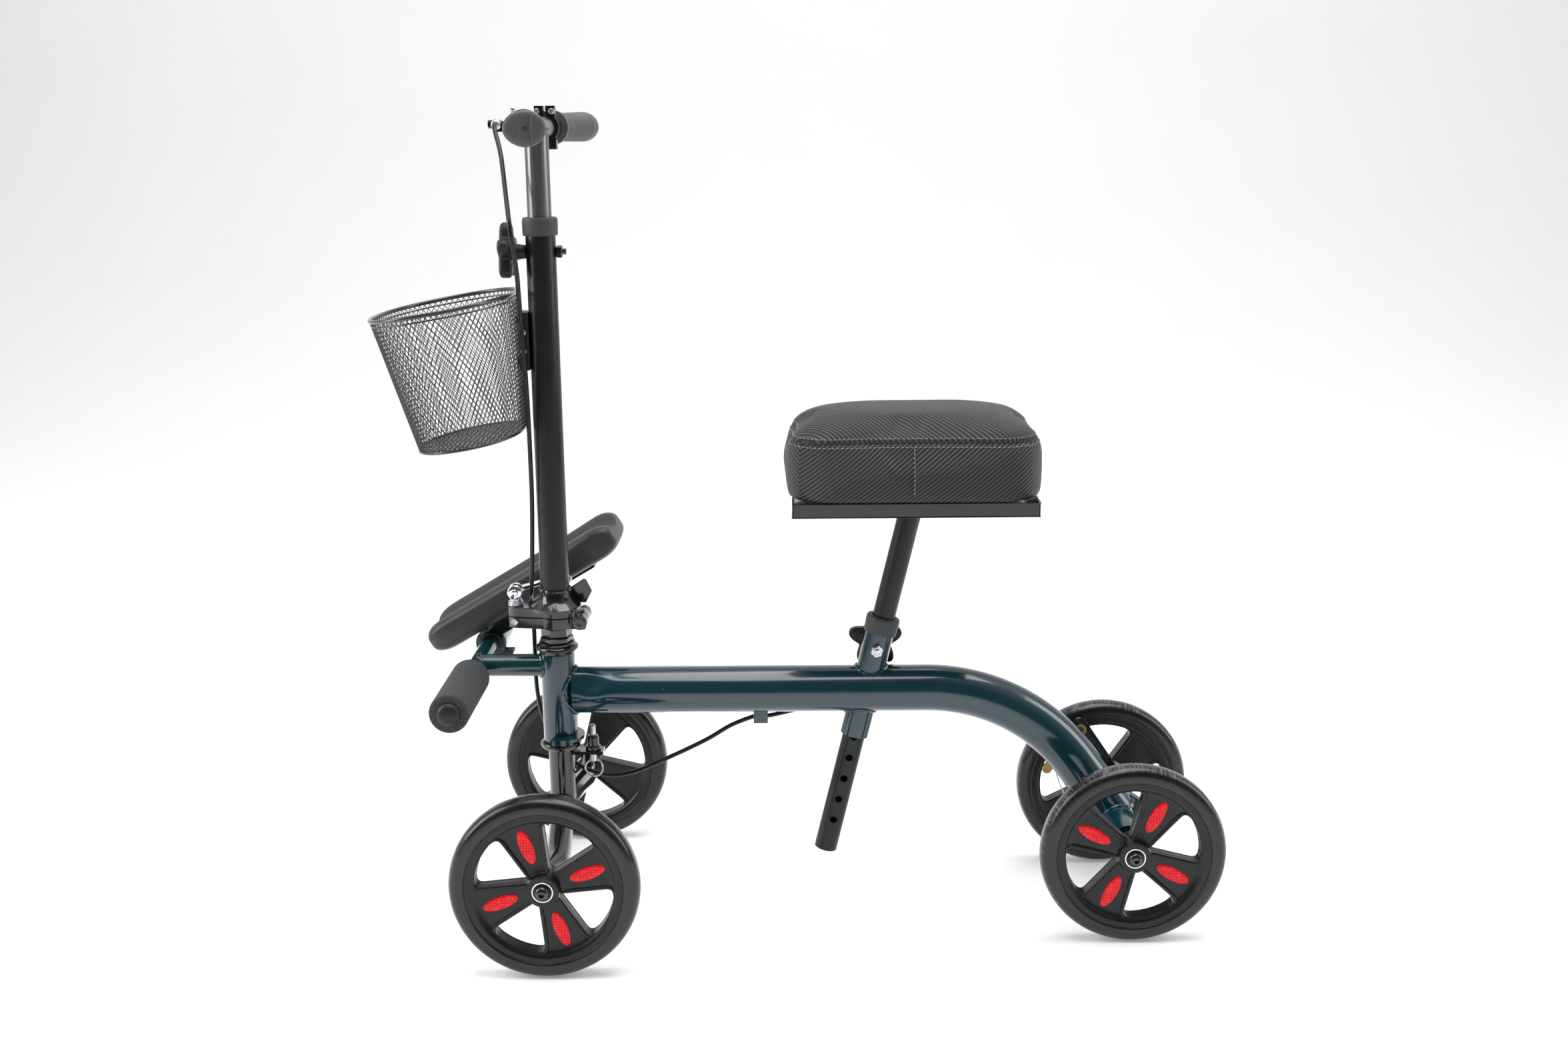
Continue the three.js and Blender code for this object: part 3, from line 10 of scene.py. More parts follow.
import bmesh
import bpy
import numpy as np
from mathutils import Matrix, Vector
from mathutils.bvhtree import BVHTree
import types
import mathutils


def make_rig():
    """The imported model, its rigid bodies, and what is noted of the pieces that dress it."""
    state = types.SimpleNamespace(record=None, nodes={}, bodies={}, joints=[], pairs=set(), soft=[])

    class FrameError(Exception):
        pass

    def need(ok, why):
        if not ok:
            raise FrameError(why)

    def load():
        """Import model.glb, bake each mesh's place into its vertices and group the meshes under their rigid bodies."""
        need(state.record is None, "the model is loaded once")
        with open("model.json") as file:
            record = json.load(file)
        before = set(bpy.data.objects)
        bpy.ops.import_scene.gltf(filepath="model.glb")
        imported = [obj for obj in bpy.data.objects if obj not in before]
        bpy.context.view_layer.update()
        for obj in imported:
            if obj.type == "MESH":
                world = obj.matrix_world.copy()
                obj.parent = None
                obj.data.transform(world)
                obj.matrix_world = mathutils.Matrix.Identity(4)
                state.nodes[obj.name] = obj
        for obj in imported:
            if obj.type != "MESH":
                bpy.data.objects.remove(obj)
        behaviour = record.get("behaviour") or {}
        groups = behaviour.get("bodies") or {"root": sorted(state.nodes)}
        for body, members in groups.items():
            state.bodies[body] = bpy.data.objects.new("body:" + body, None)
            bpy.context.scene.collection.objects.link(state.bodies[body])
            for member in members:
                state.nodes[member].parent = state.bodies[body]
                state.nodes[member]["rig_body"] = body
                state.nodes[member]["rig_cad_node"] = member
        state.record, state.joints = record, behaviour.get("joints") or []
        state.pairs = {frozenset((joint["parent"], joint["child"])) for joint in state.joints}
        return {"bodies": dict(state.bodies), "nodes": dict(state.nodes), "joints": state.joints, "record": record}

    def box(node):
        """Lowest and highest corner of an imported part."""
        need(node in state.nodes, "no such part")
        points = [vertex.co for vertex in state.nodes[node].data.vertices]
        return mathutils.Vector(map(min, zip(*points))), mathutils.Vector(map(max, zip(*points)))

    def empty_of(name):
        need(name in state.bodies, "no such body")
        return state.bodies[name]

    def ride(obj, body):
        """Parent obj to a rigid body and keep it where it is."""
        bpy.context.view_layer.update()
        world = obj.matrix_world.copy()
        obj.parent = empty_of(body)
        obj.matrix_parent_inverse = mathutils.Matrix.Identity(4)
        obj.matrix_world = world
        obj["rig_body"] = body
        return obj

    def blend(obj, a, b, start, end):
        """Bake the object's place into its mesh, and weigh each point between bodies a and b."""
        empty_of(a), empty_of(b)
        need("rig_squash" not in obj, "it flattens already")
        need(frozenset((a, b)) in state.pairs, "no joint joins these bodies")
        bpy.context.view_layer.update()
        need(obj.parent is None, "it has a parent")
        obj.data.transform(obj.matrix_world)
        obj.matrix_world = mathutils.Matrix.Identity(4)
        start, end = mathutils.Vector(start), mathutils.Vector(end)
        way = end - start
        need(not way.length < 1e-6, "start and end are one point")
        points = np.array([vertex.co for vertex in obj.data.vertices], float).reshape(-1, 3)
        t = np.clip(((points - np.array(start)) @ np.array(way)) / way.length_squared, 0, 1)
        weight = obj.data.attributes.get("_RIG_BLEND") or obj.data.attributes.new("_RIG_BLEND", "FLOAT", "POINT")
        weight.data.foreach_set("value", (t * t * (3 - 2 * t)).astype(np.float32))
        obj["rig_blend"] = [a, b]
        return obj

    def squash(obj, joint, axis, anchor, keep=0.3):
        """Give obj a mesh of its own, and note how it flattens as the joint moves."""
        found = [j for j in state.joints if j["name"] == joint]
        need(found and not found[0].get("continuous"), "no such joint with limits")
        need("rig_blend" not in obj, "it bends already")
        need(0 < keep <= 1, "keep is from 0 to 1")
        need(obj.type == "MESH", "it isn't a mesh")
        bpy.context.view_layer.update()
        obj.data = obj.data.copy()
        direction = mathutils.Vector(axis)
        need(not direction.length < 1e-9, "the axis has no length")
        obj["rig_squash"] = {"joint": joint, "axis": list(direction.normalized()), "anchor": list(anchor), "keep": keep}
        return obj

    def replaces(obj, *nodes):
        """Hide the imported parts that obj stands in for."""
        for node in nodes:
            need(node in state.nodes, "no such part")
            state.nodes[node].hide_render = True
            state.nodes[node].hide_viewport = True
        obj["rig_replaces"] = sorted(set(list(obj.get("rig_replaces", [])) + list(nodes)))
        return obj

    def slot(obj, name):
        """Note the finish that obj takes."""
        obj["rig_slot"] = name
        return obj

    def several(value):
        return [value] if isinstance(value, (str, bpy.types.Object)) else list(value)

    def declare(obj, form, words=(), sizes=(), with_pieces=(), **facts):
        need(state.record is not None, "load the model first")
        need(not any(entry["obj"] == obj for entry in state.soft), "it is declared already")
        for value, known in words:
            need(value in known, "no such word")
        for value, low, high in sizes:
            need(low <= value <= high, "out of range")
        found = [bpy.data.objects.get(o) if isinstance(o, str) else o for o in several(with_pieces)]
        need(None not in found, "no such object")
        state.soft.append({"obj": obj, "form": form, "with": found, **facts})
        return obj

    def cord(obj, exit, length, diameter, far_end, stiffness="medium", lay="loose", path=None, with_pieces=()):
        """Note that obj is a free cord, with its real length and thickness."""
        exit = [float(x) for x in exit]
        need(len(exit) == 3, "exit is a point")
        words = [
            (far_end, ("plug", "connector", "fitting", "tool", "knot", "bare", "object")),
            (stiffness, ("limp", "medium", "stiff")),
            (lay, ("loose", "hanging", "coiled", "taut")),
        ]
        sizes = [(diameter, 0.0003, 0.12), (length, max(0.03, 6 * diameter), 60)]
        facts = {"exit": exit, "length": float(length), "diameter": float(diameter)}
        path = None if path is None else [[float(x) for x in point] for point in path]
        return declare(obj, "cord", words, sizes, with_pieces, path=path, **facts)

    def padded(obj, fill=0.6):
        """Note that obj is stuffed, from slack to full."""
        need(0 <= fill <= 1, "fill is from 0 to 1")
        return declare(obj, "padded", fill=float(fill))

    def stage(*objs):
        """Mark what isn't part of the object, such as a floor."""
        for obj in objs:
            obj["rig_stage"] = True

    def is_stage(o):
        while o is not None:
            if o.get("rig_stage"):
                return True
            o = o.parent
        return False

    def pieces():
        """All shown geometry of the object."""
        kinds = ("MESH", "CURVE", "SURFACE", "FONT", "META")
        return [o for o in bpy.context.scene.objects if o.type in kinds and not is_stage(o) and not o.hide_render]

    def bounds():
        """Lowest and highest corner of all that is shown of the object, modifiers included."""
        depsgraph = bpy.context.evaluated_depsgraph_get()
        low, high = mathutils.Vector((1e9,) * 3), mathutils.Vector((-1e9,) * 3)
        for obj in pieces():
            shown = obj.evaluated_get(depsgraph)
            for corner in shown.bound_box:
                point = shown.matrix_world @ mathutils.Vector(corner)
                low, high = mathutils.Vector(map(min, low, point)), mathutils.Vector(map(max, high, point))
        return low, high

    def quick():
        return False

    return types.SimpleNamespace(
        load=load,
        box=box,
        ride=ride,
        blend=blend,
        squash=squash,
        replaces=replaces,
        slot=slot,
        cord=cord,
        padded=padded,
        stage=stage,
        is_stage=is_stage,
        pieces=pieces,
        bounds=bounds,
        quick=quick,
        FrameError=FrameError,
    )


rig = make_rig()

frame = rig.load()
cad_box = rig.bounds()

MM = 0.001
TAU = 2 * math.pi
WHEEL_LOW, WHEEL_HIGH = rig.box("rim_front_near")
SHIFT = (WHEEL_LOW.x + WHEEL_HIGH.x) / 2 + 0.312
X, Y, Z = Vector((1, 0, 0)), Vector((0, 1, 0)), Vector((0, 0, 1))

STEER_X = -316
POST_FOOT = (-18, 62)
POST_HEAD = (77.6, 459)

TRAY_TOP = 481.3
CUSHION_TOP = 569.0
SEAM_Z = 545.5
CUSHION_MIDDLE = 77.5
CUSHION_HALF = (135.5, 89.0)


def at(x, y, z):
    return Vector((x * MM + SHIFT, y * MM, z * MM))


# ---------------------------------------------------------------- mesh parts: (vertices, faces)
def spine_frames(points, closed, up):
    """A side and a lift direction, square to the line, at each of its points."""
    count = len(points)
    frames = []
    side = None
    for i in range(count):
        before = points[(i - 1) % count] if closed or i > 0 else points[0]
        after = points[(i + 1) % count] if closed or i < count - 1 else points[-1]
        along = (after - before).normalized()
        if up is not None:
            side = along.cross(up).normalized()
        elif side is None:
            side = along.orthogonal().normalized()
        else:
            side = (side - along * side.dot(along)).normalized()
        frames.append((side, side.cross(along).normalized()))
    return frames


def tube(points, radius, sides=24, closed=False, up=None):
    """A tube along a line of points. radius is a number, or a function of the point's index and the angle."""
    frames = spine_frames(points, closed, up)
    verts, faces = [], []
    for i, (p, (side, lift)) in enumerate(zip(points, frames)):
        for j in range(sides):
            angle = TAU * j / sides
            r = radius(i, angle) if callable(radius) else radius
            if not isinstance(r, tuple):
                r = (r, r)
            verts.append(p + (side * math.cos(angle) * r[0] + lift * math.sin(angle) * r[1]) * MM)
    rows = len(points)
    for i in range(rows if closed else rows - 1):
        a, b = i * sides, ((i + 1) % rows) * sides
        for j in range(sides):
            k = (j + 1) % sides
            faces.append((a + j, a + k, b + k, b + j))
    if not closed:
        faces.append(tuple(range(sides - 1, -1, -1)))
        faces.append(tuple((rows - 1) * sides + j for j in range(sides)))
    return verts, faces


def lathe(profile, base, axis, steps=48, loop=False):
    """A turned shape: (radius, height) pairs along the axis from base. loop closes the profile on itself."""
    axis = Vector(axis).normalized()
    side = axis.orthogonal().normalized()
    other = axis.cross(side)
    verts, faces = [], []
    for radius, height in profile:
        for j in range(steps):
            angle = TAU * (j + 0.5) / steps
            out = side * math.cos(angle) + other * math.sin(angle)
            verts.append(base + (axis * height + out * max(radius, 1e-4)) * MM)
    rows = len(profile)
    for i in range(rows if loop else rows - 1):
        a, b = i * steps, ((i + 1) % rows) * steps
        for j in range(steps):
            k = (j + 1) % steps
            faces.append((a + j, a + k, b + k, b + j))
    if not loop:
        faces.append(tuple(range(steps - 1, -1, -1)))
        faces.append(tuple((rows - 1) * steps + j for j in range(steps)))
    return verts, faces


def rounded(points, arc=4):
    """A (radius, height) profile whose third numbers, where given, are corner radii."""
    result = []
    for i, p in enumerate(points):
        if len(p) < 3 or i in (0, len(points) - 1):
            result.append((p[0], p[1]))
            continue
        corner = Vector((p[0], p[1]))
        before, after = Vector(points[i - 1][:2]), Vector(points[i + 1][:2])
        start = corner + (before - corner).normalized() * p[2]
        end = corner + (after - corner).normalized() * p[2]
        for s in range(arc + 1):
            t = s / arc
            q = start * (1 - t) ** 2 + corner * 2 * t * (1 - t) + end * t**2
            result.append((q.x, q.y))
    return result


def block(centre, size, along=X, across=Y):
    """A box of the size (length, width, height) in mm, its length along one direction."""
    up = along.cross(across)
    verts = []
    for sx in (-0.5, 0.5):
        for sy in (-0.5, 0.5):
            for sz in (-0.5, 0.5):
                verts.append(centre + (along * sx * size[0] + across * sy * size[1] + up * sz * size[2]) * MM)
    faces = [(0, 1, 3, 2), (4, 6, 7, 5), (0, 4, 5, 1), (2, 3, 7, 6), (0, 2, 6, 4), (1, 5, 7, 3)]
    return verts, faces


def prism(outline, origin, u, v, depth):
    """A flat shape of (u, v) points in mm, depth thick along u x v."""
    normal = u.cross(v).normalized()
    count = len(outline)
    low = [origin + (u * a + v * b) * MM for a, b in outline]
    verts = low + [p + normal * depth * MM for p in low]
    faces = [tuple(range(count - 1, -1, -1)), tuple(range(count, 2 * count))]
    for i in range(count):
        j = (i + 1) % count
        faces.append((i, j, count + j, count + i))
    return verts, faces


def rod(a, b, radius, steps=32, chamfer=0.0):
    """A round bar from a to b, with square or chamfered ends."""
    length = (b - a).length / MM
    if chamfer == 0:
        return lathe([(radius, 0), (radius, length)], a, b - a, steps)
    shoulder = radius - chamfer
    profile = [(shoulder, 0), (radius, chamfer), (radius, length - chamfer), (shoulder, length)]
    return lathe(profile, a, b - a, steps)


def smooth_path(points, steps=8):
    """A Catmull-Rom line through the points."""
    result = []
    count = len(points)
    for i in range(count - 1):
        p0, p1, p2, p3 = points[max(i - 1, 0)], points[i], points[i + 1], points[min(i + 2, count - 1)]
        for s in range(steps):
            t = s / steps
            a = p1 * 2 + (p2 - p0) * t + (p0 * 2 - p1 * 5 + p2 * 4 - p3) * t**2
            result.append((a + (p1 * 3 - p0 - p2 * 3 + p3) * t**3) * 0.5)
    result.append(points[-1])
    return result


def bead(points, radius=2.2, ripple=0.22, pitch=3):
    """A weld bead along a closed line, with the ripples of the weld pool."""
    return tube(points, lambda i, a: radius * (1 + ripple * math.sin(TAU * i / pitch)), 8, closed=True)


# ---------------------------------------------------------------- objects
def mesh_object(name, parts, angle=35, origin=None):
    """One object out of mesh parts, welded, facing out, and smooth but for edges sharper than the angle."""
    verts, faces = [], []
    for v, f in parts:
        start = len(verts)
        verts.extend(v)
        faces.extend(tuple(start + k for k in face) for face in f)
    if origin is not None:
        verts = [v - origin for v in verts]
    mesh = bpy.data.meshes.new(name)
    mesh.from_pydata([tuple(v) for v in verts], [], faces)
    obj = bpy.data.objects.new(name, mesh)
    bpy.context.scene.collection.objects.link(obj)
    if origin is not None:
        obj.location = origin
    finish_mesh(obj, angle)
    return obj


def finish_mesh(obj, angle=35):
    mesh = obj.data
    bm = bmesh.new()
    bm.from_mesh(mesh)
    bmesh.ops.remove_doubles(bm, verts=bm.verts, dist=2e-6)
    bmesh.ops.dissolve_degenerate(bm, edges=bm.edges, dist=1e-7)
    bmesh.ops.recalc_face_normals(bm, faces=bm.faces)
    bm.to_mesh(mesh)
    bm.free()
    mesh.polygons.foreach_set("use_smooth", [True] * len(mesh.polygons))
    mesh.set_sharp_from_angle(angle=math.radians(angle))
    mesh.update()


def place(obj, body, look, replaces=(), bevel=0.0):
    """Gives a piece its material and slot, and lets it ride on its body."""
    slot, material = look
    obj.data.materials.clear()
    obj.data.materials.append(material)
    if bevel:
        add_bevel(obj, bevel)
    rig.ride(obj, body)
    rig.slot(obj, slot)
    if replaces:
        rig.replaces(obj, *replaces)
    return obj


def piece(name, parts, body, look, replaces=(), bevel=0.0, angle=35, origin=None):
    return place(mesh_object(name, parts, angle, origin), body, look, replaces, bevel)


def add_bevel(obj, width):
    modifier = obj.modifiers.new("edge_rounding", "BEVEL")
    modifier.width = width * MM
    modifier.segments = 2
    modifier.limit_method = "ANGLE"
    modifier.angle_limit = math.radians(40)
    modifier.harden_normals = True


def dress(node, look, bevel=0.5, angle=30):
    """Stands a copy of a CAD node, welded and with rounded edges, in the node's place."""
    source = frame["nodes"][node]
    mesh = source.data.copy()
    mesh.name = node + "_looks"
    obj = bpy.data.objects.new(node + "_looks", mesh)
    bpy.context.scene.collection.objects.link(obj)
    for attribute in list(mesh.attributes):
        if attribute.name == "custom_normal":
            mesh.attributes.remove(attribute)
    bm = bmesh.new()
    bm.from_mesh(mesh)
    bmesh.ops.remove_doubles(bm, verts=bm.verts, dist=2e-6)
    flat = [e for e in bm.edges if len(e.link_faces) == 2 and e.calc_face_angle(1) < math.radians(0.5)]
    bmesh.ops.dissolve_edges(bm, edges=flat, use_verts=False)
    bmesh.ops.recalc_face_normals(bm, faces=bm.faces)
    bm.to_mesh(mesh)
    bm.free()
    mesh.polygons.foreach_set("use_smooth", [True] * len(mesh.polygons))
    mesh.set_sharp_from_angle(angle=math.radians(angle))
    return place(obj, source["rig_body"], look, [node], bevel)


# ---------------------------------------------------------------- materials
class Shader:
    """A short way to write a procedural material."""

    def __init__(self, name):
        self.material = bpy.data.materials.new(name)
        self.material.use_nodes = True
        self.tree = self.material.node_tree
        self.bsdf = self.tree.nodes["Principled BSDF"]
        self.coords = self.tree.nodes.new("ShaderNodeTexCoord")
        self.place = self.coords.outputs["Object"]
        self.last_normal = None

    def node(self, kind, inputs=None, **settings):
        node = self.tree.nodes.new(kind)
        for key, value in settings.items():
            setattr(node, key, value)
        for key, value in (inputs or {}).items():
            if isinstance(value, bpy.types.NodeSocket):
                self.tree.links.new(value, node.inputs[key])
            else:
                node.inputs[key].default_value = value
        return node

    def math(self, operation, a, b=0.0, c=0.0):
        return self.node("ShaderNodeMath", {0: a, 1: b, 2: c}, operation=operation).outputs[0]

    def noise(self, scale, detail=3.0, rough=0.5, vector=None):
        inputs = {"Vector": vector or self.place, "Scale": scale, "Detail": detail, "Roughness": rough}
        return self.node("ShaderNodeTexNoise", inputs).outputs["Fac"]

    def range(self, value, low, high, to_low=0.0, to_high=1.0):
        inputs = {"Value": value, "From Min": low, "From Max": high, "To Min": to_low, "To Max": to_high}
        return self.node("ShaderNodeMapRange", inputs).outputs["Result"]

    def mix(self, factor, a, b):
        node = self.node("ShaderNodeMix", {0: factor}, data_type="RGBA")
        for socket, value in ((node.inputs[6], a), (node.inputs[7], b)):
            if isinstance(value, bpy.types.NodeSocket):
                self.tree.links.new(value, socket)
            else:
                socket.default_value = (*value, 1)
        return node.outputs[2]

    def stretched(self, x, y, z):
        return self.node("ShaderNodeMapping", {"Vector": self.place, "Scale": (x, y, z)}).outputs["Vector"]

    def bump(self, height, strength, distance):
        """A bump whose height of 1 stands distance mm proud, on top of the bumps before it."""
        inputs = {"Height": height, "Strength": strength, "Distance": distance * MM}
        if self.last_normal is not None:
            inputs["Normal"] = self.last_normal
        self.last_normal = self.node("ShaderNodeBump", inputs).outputs["Normal"]
        self.tree.links.new(self.last_normal, self.bsdf.inputs["Normal"])

    def set(self, **values):
        for key, value in values.items():
            socket = self.bsdf.inputs[key.replace("_", " ")]
            if isinstance(value, bpy.types.NodeSocket):
                self.tree.links.new(value, socket)
            else:
                socket.default_value = (*value, 1) if isinstance(value, tuple) else value


def scaled(colour, factor):
    return tuple(min(1.0, c * factor) for c in colour)


def varied(shader, colour, spread, scale=14.0, dust=0.0):
    """The colour, a little darker and lighter in soft patches, with specks of pale dust."""
    patches = shader.noise(scale, 4.0, 0.6)
    result = shader.mix(patches, scaled(colour, 1 - spread), scaled(colour, 1 + spread))
    if dust:
        specks = shader.range(shader.noise(520.0, 2.0, 0.6), 0.74, 0.78)
        sparse = shader.range(shader.noise(35.0, 1.0), 0.5, 0.62, 0.0, dust)
        result = shader.mix(shader.math("MULTIPLY", specks, sparse), result, (0.6, 0.62, 0.62))
    return result


def coated(name, colour, roughness, peel=0.35, dust=0.25, coat=0.6, shine=0.5):
    """Gloss paint or powder coat: orange peel, uneven gloss and a few specks."""
    s = Shader(name)
    gloss = s.range(s.noise(22.0, 3.0), 0.3, 0.7, roughness * 0.75, roughness * 1.3)
    s.set(Base_Color=varied(s, colour, 0.14, dust=dust), Roughness=gloss)
    s.set(Coat_Weight=coat, Coat_Roughness=0.06, Specular_IOR_Level=shine)
    s.bump(s.noise(420.0, 2.0), peel, 0.05)
    s.bump(s.noise(60.0, 2.0), 0.15, 0.15)
    return s.material


def moulded(name, colour, roughness, grain=0.35, scale=900.0, dust=0.2):
    """Moulded plastic or rubber with a fine grain."""
    s = Shader(name)
    dull = s.range(s.noise(45.0, 4.0), 0.3, 0.7, roughness * 0.85, roughness * 1.15)
    s.set(Base_Color=varied(s, colour, 0.18, dust=dust), Roughness=dull, Specular_IOR_Level=0.34)
    s.bump(s.noise(scale, 3.0, 0.6), grain, 0.08)
    return s.material


def metal(name, colour, roughness, along=None):
    """Bare or plated metal, with fine scratches along one axis of the part if it is drawn tube."""
    s = Shader(name)
    stretch = {"z": (700, 700, 8), None: (260, 260, 260)}[along]
    scratches = s.noise(1.0, 3.0, 0.6, s.stretched(*stretch))
    tone = s.mix(scratches, scaled(colour, 0.9), scaled(colour, 1.1))
    rough = s.range(scratches, 0.3, 0.7, roughness * 0.7, roughness * 1.35)
    s.set(Base_Color=tone, Roughness=rough, Metallic=1.0)
    s.bump(scratches, 0.12, 0.03)
    return s.material


def foam_material():
    s = Shader("foam")
    cells = s.node("ShaderNodeTexVoronoi", {"Vector": s.place, "Scale": 900.0}).outputs["Distance"]
    speck = s.range(s.noise(1100.0, 2.0, 0.7), 0.58, 0.66)
    tone = s.mix(speck, (0.03, 0.031, 0.033), (0.13, 0.132, 0.135))
    skin = s.mix(s.noise(20.0, 3.0), (0.032, 0.034, 0.037), (0.052, 0.054, 0.058))
    facing = s.node("ShaderNodeSeparateXYZ", {0: s.coords.outputs["Normal"]}).outputs["Y"]
    cut_end = s.range(s.math("ABSOLUTE", facing), 0.8, 0.95)
    s.set(Base_Color=s.mix(cut_end, skin, tone), Roughness=0.82)
    s.bump(cells, 0.5, 0.25)
    return s.material


RIB_PITCH = 0.0058


def carbon_vinyl():
    """Embossed twill vinyl: diagonal ribs of short floats, turned to run over the top and round the sides."""
    s = Shader("carbon_vinyl")
    place = s.node("ShaderNodeSeparateXYZ", {0: s.place}).outputs
    normal = s.node("ShaderNodeSeparateXYZ", {0: s.coords.outputs["Normal"]}).outputs
    on_end = s.math("GREATER_THAN", s.math("ABSOLUTE", normal["X"]), s.math("ABSOLUTE", normal["Y"]))
    around = s.math("ADD", place["X"], s.math("MULTIPLY", on_end, s.math("SUBTRACT", place["Y"], place["X"])))
    on_top = s.math("GREATER_THAN", place["Z"], SEAM_Z * MM)
    u = s.math("ADD", around, s.math("MULTIPLY", on_top, s.math("SUBTRACT", place["X"], around)))
    v = s.math("SUBTRACT", s.math("MULTIPLY", s.math("SUBTRACT", 1.0, on_top), place["Z"]),
               s.math("MULTIPLY", on_top, place["Y"]))
    wobble = s.math("MULTIPLY", s.noise(30.0, 2.0), 0.0016)
    rib_phase = s.math("ADD", s.math("SUBTRACT", u, s.math("MULTIPLY", v, 1.25)), wobble)
    rib = s.math("MULTIPLY_ADD", s.math("SINE", s.math("MULTIPLY", rib_phase, TAU / RIB_PITCH)), 0.5, 0.5)
    float_turn = s.math("MULTIPLY", s.math("ADD", u, v), TAU / 0.003)
    offset = s.math("MULTIPLY", s.math("FLOOR", s.math("MULTIPLY", rib_phase, 1 / RIB_PITCH)), math.pi / 2)
    floats = s.math("MULTIPLY_ADD", s.math("SINE", s.math("ADD", float_turn, offset)), 0.5, 0.5)
    weave = s.math("ADD", s.math("MULTIPLY", rib, 0.88), s.math("MULTIPLY", floats, 0.12))
    shade = s.mix(s.range(weave, 0.4, 0.85), (0.002, 0.0021, 0.0023), (0.055, 0.057, 0.06))
    patches = s.noise(16.0, 3.0)
    s.set(Base_Color=s.mix(s.math("MULTIPLY", patches, 0.15), shade, (0.012, 0.0125, 0.0135)))
    s.set(Roughness=s.range(weave, 0.2, 0.9, 0.65, 0.3), Specular_IOR_Level=0.45)
    s.bump(weave, 1.0, 1.1)
    s.bump(s.noise(1500.0, 2.0), 0.2, 0.04)
    return s.material


def reflector_material():
    """Red prismatic plastic under a clear face: the cells' bump is its real moulding, their bright and dark colours are
    painted glints and painted shade, and a painted red glow.
    """
    s = Shader("reflector")
    inputs = {"Vector": s.place, "Scale": 330.0, "Randomness": 0.35}
    cells = s.node("ShaderNodeTexVoronoi", inputs).outputs
    # Each cell brighter at its middle and darker at its edge: painted glints and painted shade of the prisms.
    tone = s.mix(s.range(cells["Distance"], 0.1, 0.55), (0.9, 0.012, 0.02), (0.28, 0.0, 0.003))
    # A scattering of whole cells painted brighter still: painted glints.
    painted_glint = s.range(s.node("ShaderNodeSeparateXYZ", {0: cells["Color"]}).outputs["X"], 0.6, 1.0, 0.0, 0.3)
    s.set(Base_Color=s.mix(painted_glint, tone, (1.0, 0.05, 0.06)), Roughness=0.3, Specular_IOR_Level=0.25)
    # A faint red emission: a painted glow, though the reflector is no lamp.
    s.set(Emission_Color=(0.9, 0.008, 0.014), Emission_Strength=0.3)
    s.bump(cells["Distance"], 0.4, 0.4)
    return s.material


def tyre_material(name, scuffed):
    """Glossy solid tyre; the rear pair is scuffed across the tread."""
    s = Shader(name)
    place = s.node("ShaderNodeSeparateXYZ", {0: s.place}).outputs
    radius = s.math("SQRT", s.math("ADD", s.math("MULTIPLY", place["X"], place["X"]),
                                   s.math("MULTIPLY", place["Z"], place["Z"])))
    tread = s.range(radius, 0.0955, 0.0985)
    colour = varied(s, (0.007, 0.0072, 0.0078), 0.2, 25.0, dust=0.5)
    gloss = s.range(s.noise(40.0, 4.0), 0.3, 0.7, 0.2, 0.34)
    if scuffed:
        turn = s.math("ARCTAN2", place["Z"], place["X"])
        across = s.node("ShaderNodeCombineXYZ", {0: s.math("MULTIPLY", turn, 46.0),
                                                 1: s.math("MULTIPLY", place["Y"], 60.0)}).outputs[0]
        marks = s.range(s.noise(1.0, 5.0, 0.75, across), 0.5, 0.62)
        worn = s.math("MULTIPLY", s.math("MULTIPLY", marks, tread), s.range(s.noise(22.0, 2.0), 0.35, 0.6))
        colour = s.mix(worn, colour, (0.2, 0.2, 0.2))
        gloss = s.math("ADD", gloss, s.math("MULTIPLY", worn, 0.4))
        s.bump(marks, 0.3, 0.15)
    s.set(Base_Color=colour, Roughness=gloss, Specular_IOR_Level=0.4, Coat_Weight=0.2, Coat_Roughness=0.12)
    s.bump(s.noise(500.0, 2.0), 0.12, 0.05)
    return s.material


TEAL = ("teal_paint", coated("teal_paint", (0.0035, 0.031, 0.043), 0.16, dust=0.5))
BLACK = ("black_paint", coated("black_paint", (0.006, 0.0062, 0.0068), 0.16))
COLUMN_PAINT = ("black_paint",
                coated("satin_black", (0.006, 0.0075, 0.0085), 0.34, peel=0.2, coat=0.1, shine=0.3))
WIRE = ("basket_wire", coated("basket_wire", (0.008, 0.008, 0.0085), 0.3, dust=0.0))
POST = ("dark_steel", coated("dark_steel", (0.008, 0.0085, 0.0095), 0.36, peel=0.2, coat=0.08, shine=0.32))
STEM = ("satin_steel", metal("satin_steel", (0.17, 0.175, 0.18), 0.3, "z"))
CHROME = ("chrome", metal("chrome", (0.78, 0.79, 0.8), 0.1))
ZINC = ("zinc", metal("zinc", (0.6, 0.61, 0.63), 0.3))
GOLD = ("yellow_zinc", metal("yellow_zinc", (0.62, 0.43, 0.14), 0.28))
PLASTIC = ("black_plastic", moulded("black_plastic", (0.011, 0.0115, 0.0125), 0.42))
GLOSS_PLASTIC = ("black_plastic", moulded("gloss_plastic", (0.008, 0.008, 0.009), 0.2, 0.1))
SATIN = ("black_plastic", moulded("satin_plastic", (0.05, 0.052, 0.055), 0.5))
WHEEL = ("wheel_plastic", moulded("wheel_plastic", (0.0085, 0.0088, 0.0095), 0.3, 0.2, 1300.0, 0.35))
TYRE = ("tyre_rubber", tyre_material("tyre", False))
WORN_TYRE = ("tyre_rubber", tyre_material("worn_tyre", True))
GRIP = ("grip_rubber", moulded("grip_rubber", (0.075, 0.077, 0.08), 0.45, 0.5, 1200.0))
FOAM = ("roller_foam", foam_material())
VINYL = ("cushion_vinyl", carbon_vinyl())
